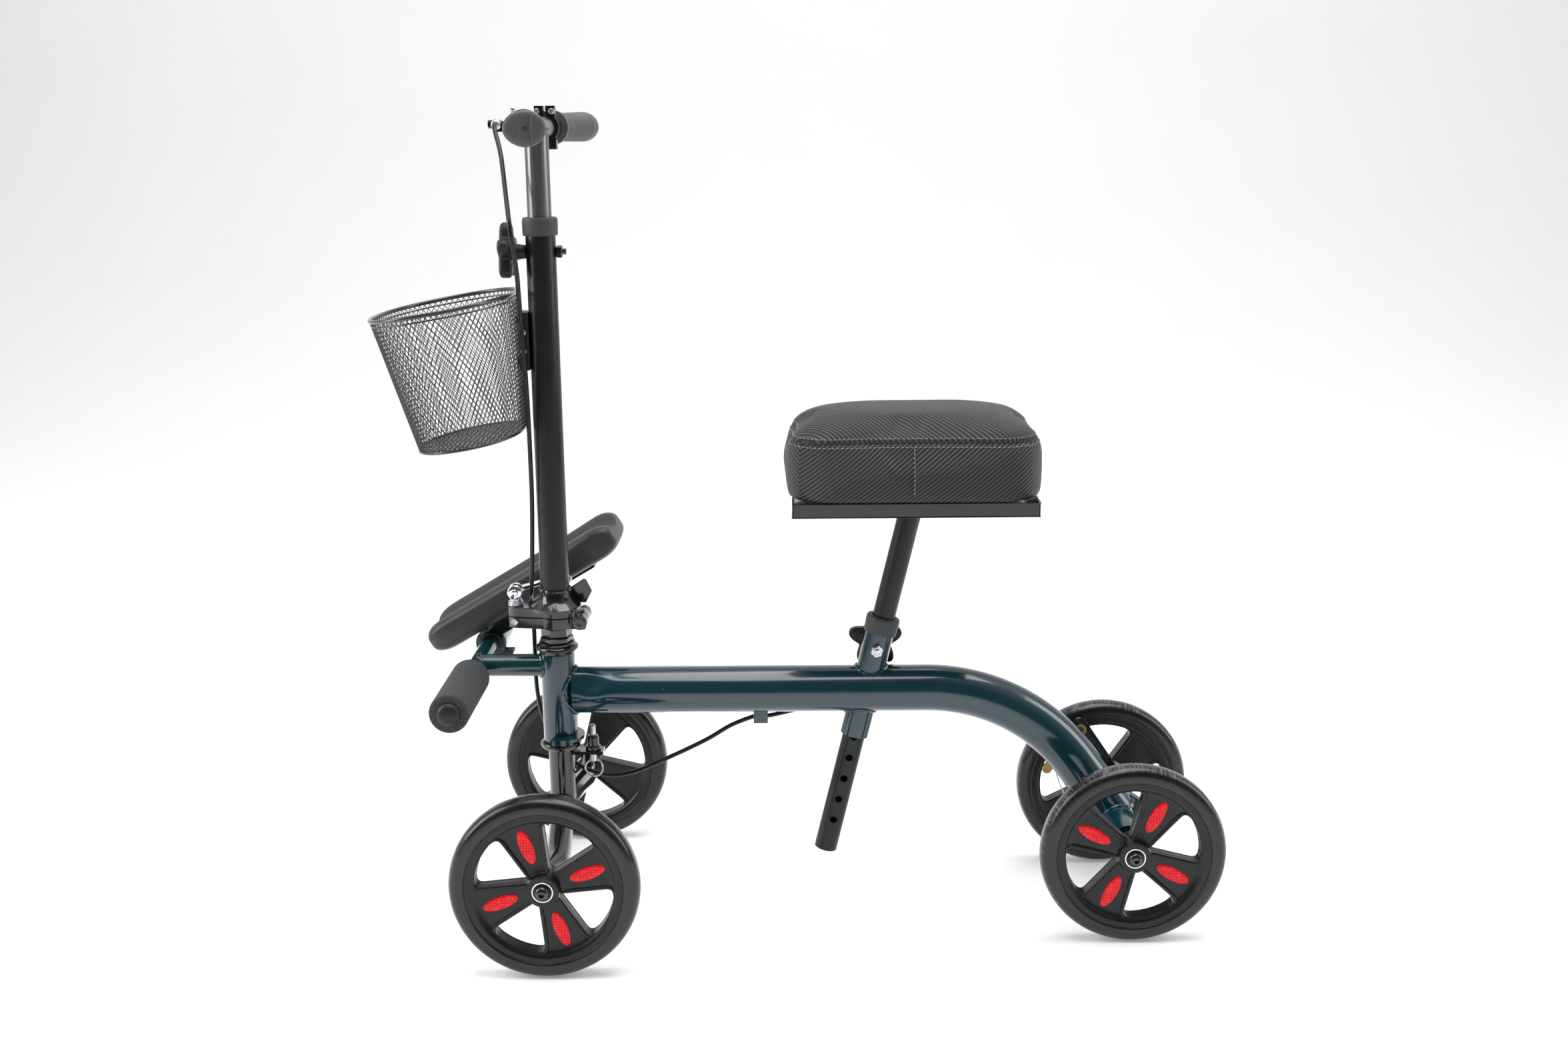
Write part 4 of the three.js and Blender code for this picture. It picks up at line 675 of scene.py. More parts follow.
THREAD = ("cushion_vinyl", moulded("thread", (0.3, 0.3, 0.3), 0.7, 0.6, 3000.0, 0.0))
PAD = ("pad_skin", moulded("pad_skin", (0.036, 0.038, 0.04), 0.4, 0.25, 1000.0))
SLEEVE = ("cable_sleeve", moulded("cable_sleeve", (0.008, 0.008, 0.009), 0.3, 0.2))
SEAL = ("wheel_plastic", moulded("bearing_seal", (0.03, 0.03, 0.03), 0.6))
REFLECTOR = ("wheel_plastic", reflector_material())


# ---------------------------------------------------------------- frame
MAIN_Z = 252.7
MAIN_R = 26.0
BEND_X = 95.0
BEND_R = 208.0
BEND_ANGLE = math.radians(54)


def post_point(distance):
    run = Vector((POST_HEAD[0] - POST_FOOT[0], 0, POST_HEAD[1] - POST_FOOT[1])).normalized()
    return at(POST_FOOT[0], 0, POST_FOOT[1]) + run * distance * MM


POST_RUN = (post_point(100) - post_point(0)).normalized()


def main_tube_points():
    points = [at(x, 0, MAIN_Z) for x in np.linspace(-300, BEND_X, 60)]
    for i in range(1, 33):
        a = BEND_ANGLE * i / 32
        points.append(at(BEND_X + BEND_R * math.sin(a), 0, MAIN_Z - BEND_R * (1 - math.cos(a))))
    end, last = at(312, 0, 100), points[-1]
    points += [last.lerp(end, t) for t in (0.25, 0.5, 0.75, 0.94)]
    return points


def main_tube():
    """The bent tube, squeezed narrower where it meets the head tube."""
    points = main_tube_points()

    def radius(i, angle):
        reach = (points[i] - points[0]).length / MM
        t = min(1.0, reach / 42)
        pinch = 1 - t * t * (3 - 2 * t)
        hollow = 4.5 * math.exp(-(((reach - 20) / 13) ** 2))
        dent = hollow * max(0.0, math.cos(2 * (angle - math.radians(205)))) ** 4
        side = MAIN_R * (1 - 0.27 * pinch) - dent
        return (side, MAIN_R * (1 + 0.03 * pinch) - dent)

    return tube(points, radius, 48, up=Z)


def pierced_line(base, axis, radius, tube_radius, sign, steps=60):
    """Where a round rod leaves the straight stretch of the main tube, as a closed line."""
    side = axis.orthogonal().normalized()
    other = axis.cross(side)
    points = []
    for i in range(steps):
        a = TAU * i / steps
        p = base + (side * math.cos(a) + other * math.sin(a)) * radius * MM
        py, pz = p.y / MM, p.z / MM - MAIN_Z
        ay, az = axis.y, axis.z
        qa, qb, qc = ay * ay + az * az, 2 * (py * ay + pz * az), py * py + pz * pz - tube_radius**2
        root = math.sqrt(max(qb * qb - 4 * qa * qc, 0))
        points.append(p + axis * ((-qb + sign * root) / (2 * qa)) * MM)
    return points


def build_frame():
    parts = [main_tube()]
    head = rounded([(14.4, 195), (19, 195, 1), (19, 298, 1), (14.4, 298)])
    parts.append(lathe(head, at(STEER_X, 0, 0), Z, loop=True))
    parts.append(lathe([(13.2, 141), (16, 141), (16, 262), (13.2, 262)], post_point(0), POST_RUN, loop=True))
    axle = rounded([(13, -78), (19, -78, 1), (19, 78, 1), (13, 78)])
    parts.append(lathe(axle, at(312, 0, 100), Y, loop=True))
    for y in (-72, 72):
        parts.append(lathe([(4.3, y - 4), (13.2, y - 4), (13.2, y + 4), (4.3, y + 4)], at(312, 0, 100), Y,
                           loop=True))
    parts.append(rod(at(-404, 0, 282), at(-330, 0, 282), 12.5, 40))
    parts.append(rod(at(-406, -163, 282), at(-406, 160, 282), 10.5, 40, 0.8))
    parts.append(stop_tab())
    parts.append(lock_flange())
    piece("frame_tubes", parts, "frame", TEAL, ["main_frame"])
    piece("frame_welds", frame_welds(), "frame", TEAL)
    cap = rounded([(12.4, 0), (12.4, 3, 0.8), (11, 6, 2.5), (0, 7.2)])
    piece("crossbar_end_cap", [lathe(cap, at(-406, 158, 282), Y)], "frame", PLASTIC)
    dress("cable_clip", TEAL, 0.6)


def stop_tab():
    outline = [(-8, -29), (9, -31), (17, -27), (15, -15), (-4, -15)]
    return prism(outline, at(STEER_X, 0, 196.5), X, Y, 6.5)


def lock_flange():
    """A half-round plate under the head tube, notched for the steering lock."""
    outline = []
    for i in range(25):
        a = math.radians(-72 + 144 * i / 24)
        outline.append((27 * math.cos(a), 27 * math.sin(a)))
    for i in range(25):
        a = math.radians(72 - 144 * i / 24)
        outline.append((18.6 * math.cos(a), 18.6 * math.sin(a)))
    return prism(outline, at(STEER_X, 0, 197), X, Y, 4)


def frame_welds():
    welds = [
        bead(pierced_line(post_point(230), POST_RUN, 16.4, MAIN_R, 1), 2.2),
        bead(pierced_line(post_point(170), POST_RUN, 16.4, MAIN_R, -1), 2.0),
    ]
    steps = 72
    head = []
    for i in range(steps):
        a = TAU * i / steps
        y, z = 18.2 * math.cos(a), 26.5 * math.sin(a)
        x = STEER_X + math.sqrt(max(19.3**2 - y * y, 6))
        head.append(at(x + 0.5, y, MAIN_Z + z))
    welds.append(bead(head, 2.3))
    stub = []
    for i in range(48):
        a = TAU * i / 48
        y, z = 12.8 * math.cos(a), 12.8 * math.sin(a)
        stub.append(at(STEER_X - math.sqrt(19.3**2 - y * y), y, 282 + z))
    welds.append(bead(stub, 1.9))
    mitre = []
    for i in range(48):
        a = TAU * i / 48
        y, z = 12.7 * math.cos(a), 12.7 * math.sin(a)
        mitre.append(at(-406 + math.sqrt(max(10.8**2 - z * z, 2)), y, 282 + z))
    welds.append(bead(mitre, 1.7))
    axle = []
    for i in range(64):
        a = TAU * i / 64
        y, side = 26.3 * math.cos(a), 26.3 * math.sin(a)
        lean = math.radians(36)
        depth = math.sqrt(max(19.3**2 - min(side * side, 350), 20))
        x = 312 - depth * math.sin(lean) + side * math.cos(lean)
        z = 100 + depth * math.cos(lean) + side * math.sin(lean)
        axle.append(at(x, y, z))
    welds.append(bead(axle, 2.2))
    return welds


def build_headset():
    base = at(STEER_X, 0, 0)
    upper = rounded([(13.4, 298.3), (19.8, 298.3), (20.6, 300.5, 0.8), (23.6, 301.8, 1.4), (23.8, 305, 1.8),
                     (20.5, 307.5, 0.8), (13.4, 307.5)])
    lower = rounded([(13.4, 186.6), (21, 186.6, 0.8), (22.8, 189, 1.4), (22.6, 192.4, 1.6),
                     (19.6, 194.6, 0.6),
                     (13.4, 194.6)])
    piece("upper_cup", [lathe(upper, base, Z, loop=True)], "frame", BLACK, ["upper_headset_cup"])
    piece("lower_cup", [lathe(lower, base, Z, loop=True)], "frame", BLACK, ["lower_headset_cup"])
    nuts = [
        lathe(rounded([(13.1, 307.6), (20, 307.6, 0.4), (20, 310, 0.4), (13.1, 310)]), base, Z, loop=True),
        lathe(rounded([(13.1, 310), (17.5, 310, 0.5), (18.6, 311.2), (18.6, 315.4), (17.4, 316.6, 0.5),
                       (13.1, 316.6)]), base, Z, 6, True),
        lathe(rounded([(13.1, 316.8), (16, 316.8, 0.5), (17.4, 318), (17.4, 326), (16, 327.6, 0.5),
                       (13.1, 327.6)]),
              base, Z, 6, True),
    ]
    piece("headset_locknuts", nuts, "fork", BLACK, ["headset_nuts"], angle=28)


# ---------------------------------------------------------------- fork and fold clamp
def build_fork():
    base = at(STEER_X, 0, 0)
    parts = [
        lathe([(12.7, 170), (12.7, 330)], base, Z),
        lathe(rounded([(10, 106), (14.5, 106, 1.5), (14.5, 186, 0.6), (10, 186)]), base, Z),
    ]
    for side in (-1, 1):
        line = [at(STEER_X, 0, 121), at(STEER_X + 5, side * 60, 113), at(STEER_X + 8.6, side * 112, 103.5),
                at(STEER_X + 6.5, side * 140, 101), at(-311.6, side * 163, 100)]
        path = smooth_path(line, 10)

        def radius(i, angle, path=path):
            beyond = max(0.0, (abs(path[i].y) / MM - 128) / 30)
            flat = min(1.0, beyond)
            return (13.5 - 6.5 * flat, 13.5 + 2.5 * flat)

        parts.append(tube(path, radius, 32, up=Z))
    parts.append(block(at(STEER_X + 28, 0, 180.2), (40, 18, 3.5)))
    piece("fork_tubes", parts, "fork", BLACK, ["fork"])
    seam = [at(STEER_X + 1, -14.3, 125), at(STEER_X + 1, -14.5, 184)]
    welds = [tube([seam[0].lerp(seam[1], t) for t in np.linspace(0, 1, 40)],
                  lambda i, a: 1.1 * (1 + 0.25 * math.sin(i * 2.1)), 8)]
    for side in (-1, 1):
        ring = []
        for i in range(40):
            a = TAU * i / 40
            x, z = 13.8 * math.cos(a), 13.8 * math.sin(a)
            y = math.sqrt(max(14.7**2 - x * x, 14))
            ring.append(at(STEER_X + x, side * y, 119 + z))
        welds.append(bead(ring, 1.8))
    piece("fork_welds", welds, "fork", BLACK)
    build_steering_lock()
    for name in ("front_axle_bolt_near", "front_axle_bolt_far", "rear_axle_bolt_near", "rear_axle_bolt_far"):
        build_axle_bolt(name)


def build_axle_bolt(name):
    low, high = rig.box(name)
    side = -1 if name.endswith("near") else 1
    outer = (low.y if side < 0 else high.y) / MM * side
    inner = (high.y if side < 0 else low.y) / MM * side
    x = ((low.x + high.x) / 2 - SHIFT) / MM
    head = rounded([(4, inner), (4, outer - 6.5), (8, outer - 6.5, 0.5), (8, outer - 4.6, 1),
                    (7.0, outer - 2, 1.6),
                    (4.6, outer - 0.2, 1), (3, outer), (2.6, outer - 3.4), (0, outer - 3.4)])
    piece(name + "_button", [lathe(head, at(x, 0, 100), Y * side, 32)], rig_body(name), BLACK, [name])


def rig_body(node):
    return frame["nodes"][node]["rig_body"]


def build_steering_lock():
    x = STEER_X + 36
    housing = rounded([(4, 182.3), (8.6, 182.3, 0.4), (8.6, 186.5, 0.8), (6.4, 186.8), (6.4, 196, 0.6),
                       (5.9, 199, 0.4),
                       (4, 199)])
    piece("lock_housing", [lathe(housing, at(x, 0, 0), Z, 40, True)], "fork", BLACK,
          ["steering_lock_housing"])
    pin = rounded([(0, 168), (3.3, 168, 0.6), (3.3, 211, 1.2), (0, 212)])
    ring = [at(x + 10 * math.cos(TAU * i / 48), 1.5 * math.sin(TAU * i / 24),
               159.5 + 10 * math.sin(TAU * i / 48))
            for i in range(48)]
    eye = [lathe(pin, at(x, 0, 0), Z, 32), tube(ring, 0.95, 10, True)]
    piece("lock_pin", eye, "steering_lock", ZINC, ["steering_lock_pin"])


def clamp_outline(front, rear, half_width):
    """The clamp from above: a narrow lug in front, full width round the column and square behind."""
    lug = 12.5
    points = []
    for i in range(13):
        a = math.radians(90 + 180 * i / 12)
        points.append((front + lug + lug * math.cos(a), lug * math.sin(a)))
    for i in range(17):
        a = math.radians(-128 + 76 * i / 16)
        r = half_width
        points.append((STEER_X + 3 + 1.12 * r * math.cos(a), r * math.sin(a)))
    for x, y in ((rear - 3, -half_width + 1), (rear, -half_width + 4), (rear, half_width - 4),
                 (rear - 3, half_width - 1)):
        points.append((x, y))
    for i in range(17):
        a = math.radians(52 + 76 * i / 16)
        r = half_width
        points.append((STEER_X + 3 + 1.12 * r * math.cos(a), r * math.sin(a)))
    return points


def build_clamp():
    """Two thick plates on the fold hinge: a flared foot on the column's, and a barrel at the rear."""
    base = at(STEER_X, 0, 0)
    low = mesh_object("clamp_base_plate", [prism(clamp_outline(-369, -281, 22), at(0, 0, 328.3), X, Y, 12.4)])
    slot = block(at(-366, 0, 336), (24, 10, 40))
    cut_away(low, mesh_object("slot", [slot, block(at(-281, 0, 336), (22, 25, 40))]))
    place(low, "fork", BLACK, ["clamp_base"], bevel=1.6)
    high = mesh_object("clamp_top_plate", [prism(clamp_outline(-369, -290, 22), at(0, 0, 341.1), X, Y, 10.9)])
    cut_away(high, mesh_object("slot_above", [slot]))
    place(high, "column", BLACK, ["clamp_top"], bevel=1.6)
    flare = [(15.9, 372), (16.2, 366), (17.6, 361), (20.5, 357), (24.5, 353.6), (28, 351.4), (28, 348),
             (15.9, 348)]
    piece("clamp_flare", [lathe(flare, base, Z, 64, True)], "column", BLACK, angle=50)
    barrel = rounded([(0, -12.2), (8, -12.2, 0.6), (8, 12.2, 0.6), (0, 12.2)])
    piece("hinge_barrel", [lathe(barrel, at(-287, 0, 337), Y, 40)], "column", BLACK)
    foot = [at(STEER_X + 16.6 * math.cos(TAU * i / 66), 16.6 * math.sin(TAU * i / 66),
               370.4) for i in range(66)]
    piece("clamp_weld", [bead(foot, 1.8, 0.25)], "column", BLACK)
    ends = []
    for side in (-1, 1):
        ends.append(lathe(rounded([(3.2, 12.6), (8.2, 12.6, 0.6), (8.2, 23.4, 0.8), (3.2, 23.4)]),
                          at(-287, 0, 337),
                          Y * side, 40, True))
    piece("hinge_barrel_ends", ends, "fork", BLACK)
    bolt = rounded([(3, -20), (3, -23.6), (6.2, -23.6, 0.4), (6.2, -25, 0.8), (3.2, -25), (3.0, -22.8),
                    (0, -22.8)])
    nut = rounded([(3, 22), (3, 23.6), (6.2, 23.6, 0.4), (6.2, 27, 0.6), (0, 27.4)])
    parts = [lathe(bolt, at(-287, 0, 337), Y, 32), lathe(nut, at(-287, 0, 337), Y, 6)]
    piece("hinge_bolt_ends", parts, "fork", BLACK, ["hinge_bolt"], angle=28)
    pin = rounded([(0, -15.2), (3.6, -15.2, 0.8), (3.6, 15.2, 0.8), (0, 15.2)])
    piece("clamp_cross_pin", [lathe(pin, at(-360, 0, 336), Y, 32)], "fork", ZINC, ["clamp_pin"])
    outline = [(-303, 366), (-286, 377), (-283, 376), (-277, 363), (-284, 350), (-303, 350)]
    piece("clamp_gusset", [prism(outline, at(0, 18, 0), X, Z, 4)], "column", BLACK, bevel=0.8)
    build_cam()


def build_cam():
    x = -360
    washers = []
    for z0, z1, r in ((352.3, 353.7, 8.6), (353.9, 355.3, 7.6), (355.5, 356.7, 8.2), (356.9, 359.3, 6.4)):
        washers.append(lathe(rounded([(3.2, z0), (r, z0, 0.3), (r, z1, 0.3), (3.2, z1)]), at(x, 0, 0), Z,
                             36, True))
    washers.append(rod(at(x, 0, 341), at(x, 0, 365), 3, 20))
    piece("cam_washers", washers, "column", ZINC, ["clamp_eyebolt"])
    cheeks = []
    for y0, y1 in ((-8.4, -3.5), (3.5, 8.4)):
        outline = rounded([(5.2, y0), (8.2, y0 + 1.2, 1.2), (8.2, y1 - 1.2, 1.2), (5.2, y1)])
        cheeks.append(lathe(outline, at(x, 0, 367.6), Y, 40))
    cheeks.append(lathe(rounded([(0, -10), (3.4, -9.6, 0.8), (4.2, -8.2), (2.4, -8), (2.4, 8), (4.2, 8.2),
                                 (3.4, 9.6, 0.8), (0, 10)]), at(x, 0, 367.6), Y, 24))
    arm = smooth_path([at(x + 3, 7, 369), at(x + 14, 15, 370), at(x + 23, 22, 371), at(x + 38, 25, 373),
                       at(x + 56, 27, 375)], 6)
    cheeks.append(tube(arm, lambda i, a: (4.2 - 0.02 * i, 3.1), 20, up=Z))
    cheeks.append(lathe([(3, 0), (3.4, 1.6), (2.2, 3), (0, 3.4)], arm[-1], arm[-1] - arm[-2], 20))
    piece("cam_lever", cheeks, "clamp_lever", CHROME, ["clamp_lever"])


# ---------------------------------------------------------------- column and handlebar
def build_column():
    base = at(STEER_X, 0, 0)
    outer = rounded([(0, 345), (15.9, 345), (15.9, 772, 0.4), (13.1, 772), (13.1, 720), (0, 720)])
    piece("column_outer", [lathe(outer, base, Z, 56)], "column", COLUMN_PAINT, ["column_tube"])
    collar = rounded([(16.2, 757), (18.2, 757, 0.8), (18.6, 759, 1), (18.9, 772, 1.2), (18.1, 776, 1.2),
                      (13.4, 776.4),
                      (13.4, 773), (16.2, 772.4)])
    piece("column_top_collar", [lathe(collar, base, Z, 56, True)], "column", SATIN, ["column_collar"])
    nut = [
        lathe(rounded([(0, 16.2), (5.6, 16.2), (6.6, 17.2), (6.6, 21.8), (5.6, 23, 0.6), (0, 23)]),
              at(STEER_X, 0, 740),
              X, 6),
        lathe([(3.2, 22), (3.2, 26.4), (2.6, 27), (0, 27)], at(STEER_X, 0, 740), X, 20),
    ]
    piece("height_bolt_nut", nut, "column", BLACK, ["height_nut"], angle=28)
    build_basket_bracket()
    star_knob("height_knob_star", at(-345.5, 0, 740), -X, Z, 31, 13, "height_knob", ["height_knob"], 14)


def build_basket_bracket():
    """A moulded block in front of the column, with the hook that the basket hangs on and two screws."""
    parts = [
        block(at(-336.5, 0, 646), (11, 26, 62)),
        block(at(-342, 0, 668), (5, 20, 7)),
        block(at(-342, 0, 624), (5, 20, 7)),
    ]
    piece("basket_block", parts, "column", PLASTIC, ["basket_bracket"], bevel=1.2)
    screws = []
    for z in (636, 656):
        screws.append(lathe(rounded([(0, 13), (3.4, 13, 0.3), (3.4, 14.4, 0.6), (0, 14.8)]), at(-337, 0, z),
                            -Y, 20))
    piece("basket_block_screws", screws, "column", ZINC)


def star_knob(name, base, axis, up, reach, depth, body, replaces, boss):
    """A five-lobed hand knob: its face looks along the axis, and its boss points back."""
    across = up.cross(axis).normalized()
    steps = 120
    rows = [(0.0, 0.90), (0.06, 0.96), (0.16, 1.0), (0.75, 1.0), (0.92, 0.95), (1.0, 0.86), (1.02, 0.5),
            (0.96, 0.3)]
    verts, faces = [], []
    for height, size in rows:
        for i in range(steps):
            a = TAU * i / steps
            lobe = 0.5 + 0.5 * math.cos(5 * a)
            r = (19 + (reach - 19) * lobe) * size
            verts.append(base + (axis * height * depth + (up * math.cos(a) + across * math.sin(a)) * r) * MM)
    for i in range(len(rows) - 1):
        for j in range(steps):
            k = (j + 1) % steps
            faces.append((i * steps + j, i * steps + k, (i + 1) * steps + k, (i + 1) * steps + j))
    faces.append(tuple(range(steps - 1, -1, -1)))
    faces.append(tuple((len(rows) - 1) * steps + j for j in range(steps)))
    hub = lathe(rounded([(9.5, -1), (8.6, 3, 1), (7.2, boss - 1, 0.6), (6.6, boss)]), base, -axis, 32)
    stud = rod(base, base - axis * (boss + 3) * MM, 3.6, 16)
    piece(name, [(verts, faces), hub, stud], body, PLASTIC, replaces, angle=40)


def bar_point(y):
    beyond = max(0.0, abs(y) - 78)
    ease = min(1.0, beyond / 12)
    return at(STEER_X + 22 * beyond / 136 - 0.6 * (1 - ease) * ease, y, 868)


def build_handlebar():
    line = [bar_point(y) for y in np.linspace(-214, 214, 90)]
    stem = rounded([(11.1, 602), (12.7, 602), (12.7, 866), (0, 868)])
    parts = [tube(line, 11.1, 40), lathe(stem, at(STEER_X, 0, 0), Z, 48)]
    piece("bar_and_stem", parts, "handlebar", STEM, ["handlebar"])
    ring = []
    for i in range(50):
        a = TAU * i / 50
        x, y = 12.9 * math.cos(a), 12.9 * math.sin(a)
        ring.append(at(STEER_X + x, y, 868 - math.sqrt(max(11.3**2 - x * x, 3))))
    piece("bar_weld", [bead(ring, 1.6)], "handlebar", STEM)
    for side, name in ((-1, "near_grip"), (1, "far_grip")):
        build_grip(side, name)
    build_brake_lever()


def grip_section(t):
    """Half width and half height of the grip at t, from its flange (0) to its outer end (1)."""
    if t < 0.05:
        return 18.5, 18.5
    if t < 0.09:
        return 15.5, 15.5
    swell = max(0.0, (t - 0.3) / 0.7)
    groove = 0.0
    if 0.12 < t < 0.9:
        groove = 1.6 * max(0.0, math.sin(TAU * (t - 0.12) / 0.071)) ** 0.6
    return 15.6 + 3.9 * swell - groove, 15.6 + 1.3 * swell - groove


def build_grip(side, name):
    inner, outer = 96.0, 214.0
    rows = 150
    points = [bar_point(side * (inner + (outer - inner) * i / rows)) for i in range(rows + 1)]
    sizes = [grip_section(i / rows) for i in range(rows + 1)]
    direction = (points[-1] - points[-2]).normalized()
    for depth, size in ((1.6, 0.97), (2.9, 0.9), (3.8, 0.78), (4.4, 0.6), (4.8, 0.4), (5.0, 0.2),
                        (5.05, 0.04)):
        points.append(points[rows] + direction * depth * MM)
        sizes.append((sizes[rows][0] * size, sizes[rows][1] * size))
    lead = 1.5

    def radius(i, angle):
        half_width, half_height = sizes[i]
        bulge = lead * max(0.0, math.cos(angle) * (1 if side < 0 else -1)) * min(1, i / rows)
        return half_width + bulge, half_height

    body = tube(points, radius, 48, up=Z)
    piece(name + "_ribbed", [body], "handlebar", GRIP, [name], angle=60)
    ribs = []
    end = points[rows]
    for offset in (-5.2, 5.6):
        line = []
        for i in range(21):
            h = -14.5 + 29 * i / 20
            rim = math.hypot(offset / 19.5, h / 16.9)
            depth = 5.2 * math.sqrt(max(0.0, 1 - min(1.0, rim) ** 2.2))
            line.append(end + X * (offset + 0.006 * h * h * (1 if offset > 0 else -1)) * MM + Z * h * MM
                        + direction * depth * MM)
        ribs.append(tube(line, 1.15, 8))
    piece(name + "_end_ribs", ribs, "handlebar", GRIP)
    # A thin dark disc on the grip's end: painted shade standing for the hole in it.
    hole = lathe([(2.2, 0), (2.2, 0.35), (1.5, 0.4), (0, 0.1)], end + direction * 4.95 * MM, direction, 24)
    piece(name + "_end_hole_painted_shade", [hole], "handlebar", SEAL)


def build_brake_lever():
    dress("brake_perch", GLOSS_PLASTIC, 1.2)
    ferrule = [
        lathe(rounded([(3, 0), (5.6, 0, 0.6), (5.6, 3, 1), (4.2, 6, 1), (3, 6)]), at(-366, 51, 872), -Y, 32),
        lathe(rounded([(2, 5), (3.9, 5, 0.4), (3.9, 9, 0.6), (2.6, 9.6)]), at(-366, 51, 872), -Y, 32),
    ]
    piece("cable_ferrule", ferrule, "handlebar", ZINC)
    bolts = []
    for x in (-324, -308):
        bolts.append(lathe(rounded([(0, 62.2), (3.2, 62.2, 0.5), (3.2, 60, 0.6), (0, 59.6)]), at(x, 0, 885),
                           Y, 24))
    piece("perch_clamp_bolts", bolts, "handlebar", ZINC)
    line = smooth_path([at(-352, 88, 868), at(-357, 104, 868), at(-362, 124, 868), at(-362, 150, 868),
                        at(-361, 180, 868), at(-363, 192, 868), at(-365, 200, 868)], 8)

    def blade(i, angle):
        t = i / (len(line) - 1)
        return (2.4 + 1.6 * t, 2.9 + 2.4 * t)

    lever = [
        tube(line, blade, 24, up=Z),
        lathe([(4.4, -1), (4.6, 2), (3, 4), (0, 4.6)], line[-1], line[-1] - line[-2], 24),
        lathe(rounded([(0, -8), (2.5, -8), (2.5, 8), (0, 8)]), at(-352, 88, 868), Z, 20),
    ]
    piece("brake_lever_blade", lever, "brake_lever", BLACK, ["brake_lever"])
    x, y = -356, 98.5
    spring = []
    for i in range(105):
        a = TAU * i / 15
        spring.append(at(x + 2.9 * math.cos(a), y + 2.9 * math.sin(a), 875.6 + 10.6 * i / 105))
    coil = piece("parking_lock_spring", [tube(spring, 0.45, 6)], "handlebar", ZINC)
    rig.squash(coil, "parking_lock_press", Z, at(x, y, 875.2), 0.7)
    head = rounded([(0, 886.8), (3.6, 886.8, 0.4), (3.6, 889.4, 0.8), (2.6, 890, 0.3), (0, 890)])
    pin = [rod(at(x, y, 874.2), at(x, y, 888), 1.7, 20), lathe(head, at(x, y, 0), Z, 28)]
    piece("parking_pin", pin, "parking_lock", ZINC, ["parking_lock_pin"])


# ---------------------------------------------------------------- basket
BASKET_BACK = (-343, 700)
BASKET_TILT = math.radians(9.5)


def oval_turns(count):
    """Directions round the basket's oval that stand evenly along its outline."""
    fine = []
    for i in range(721):
        a = TAU * i / 720
        c, s = math.cos(a), math.sin(a)
        fine.append((70 * math.copysign(abs(c) ** 0.88, c), 94 * math.copysign(abs(s) ** 0.88, s)))
    lengths = [0.0]
    for p, q in zip(fine, fine[1:]):
        lengths.append(lengths[-1] + math.dist(p, q))
    even = np.interp(np.linspace(0, lengths[-1], count + 1), lengths, np.linspace(0, 1, 721))
    return even


OVAL = oval_turns(400)


def basket_point(share, height, inset=0.0):
    """A point of the basket's wall: share runs 0 to 1 round it, height 0 to 1 from floor to rim."""
    turn = float(np.interp((share % 1.0) * 400, range(401), OVAL))
    c, s = math.cos(TAU * turn), math.sin(TAU * turn)
    bulge_x = math.copysign(abs(c) ** 0.88, c)
    bulge_y = math.copysign(abs(s) ** 0.88, s)
    depth = 57 + 21 * height - inset
    width = 80 + 25 * height - inset
    x = -80 + depth * bulge_x
    z = -150 + 150 * height
    rx = math.cos(BASKET_TILT) * x - math.sin(BASKET_TILT) * z
    rz = math.sin(BASKET_TILT) * x + math.cos(BASKET_TILT) * z
    return at(BASKET_BACK[0] + rx, width * bulge_y, BASKET_BACK[1] + rz)


def basket_ring(height, radius, inset=1.2, steps=120):
    return tube([basket_point(i / steps, height, inset) for i in range(steps)], radius, 12, True)


def build_basket():
    wires, cells, rows = [], 90, 16
    for k in range(cells):
        for way in (-1, 1):
            line = []
            for i in range(19):
                t = 0.012 + 0.975 * i / 18
                line.append(basket_point((k + way * t * rows) / cells, t, 1.2 + 0.35 * way))
            wires.append(tube(line, 0.46, 5))
    piece("basket_wall_mesh", wires, "basket", WIRE, ["basket"], angle=70)
    piece("basket_floor_mesh", basket_floor(), "basket", WIRE, angle=70)
    rings = [basket_ring(0.985, 2.3), basket_ring(0.945, 0.9), basket_ring(0.015, 1.5)]
    piece("basket_rings", rings, "basket", WIRE)


def basket_floor():
    """Crossed wires over the floor, each clipped to the floor's outline."""
    outline = [basket_point(i / 90, 0.015, 2.0) for i in range(90)]
    centre = sum(outline, Vector()) / len(outline)
    along = (outline[0] - outline[45]).normalized()
    flat = [((p - centre).dot(along) / MM, (p - centre).y / MM) for p in outline]
    wires = []
    for way in (-1, 1):
        direction = Vector((1, way * 0.72)).normalized()
        normal = Vector((-direction.y, direction.x))
        for k in range(-20, 21):
            offset = k * 7.0
            hits = []
            for i in range(len(flat)):
                a, b = Vector(flat[i]), Vector(flat[(i + 1) % len(flat)])
                da, db = a.dot(normal) - offset, b.dot(normal) - offset
                if (da < 0) != (db < 0):
                    hits.append(a.lerp(b, da / (da - db)))
            if len(hits) == 2:
                ends = [centre + along * h.x * MM + Y * h.y * MM for h in hits]
                wires.append(tube(ends, 0.5, 5))
    return wires


# ---------------------------------------------------------------- seat


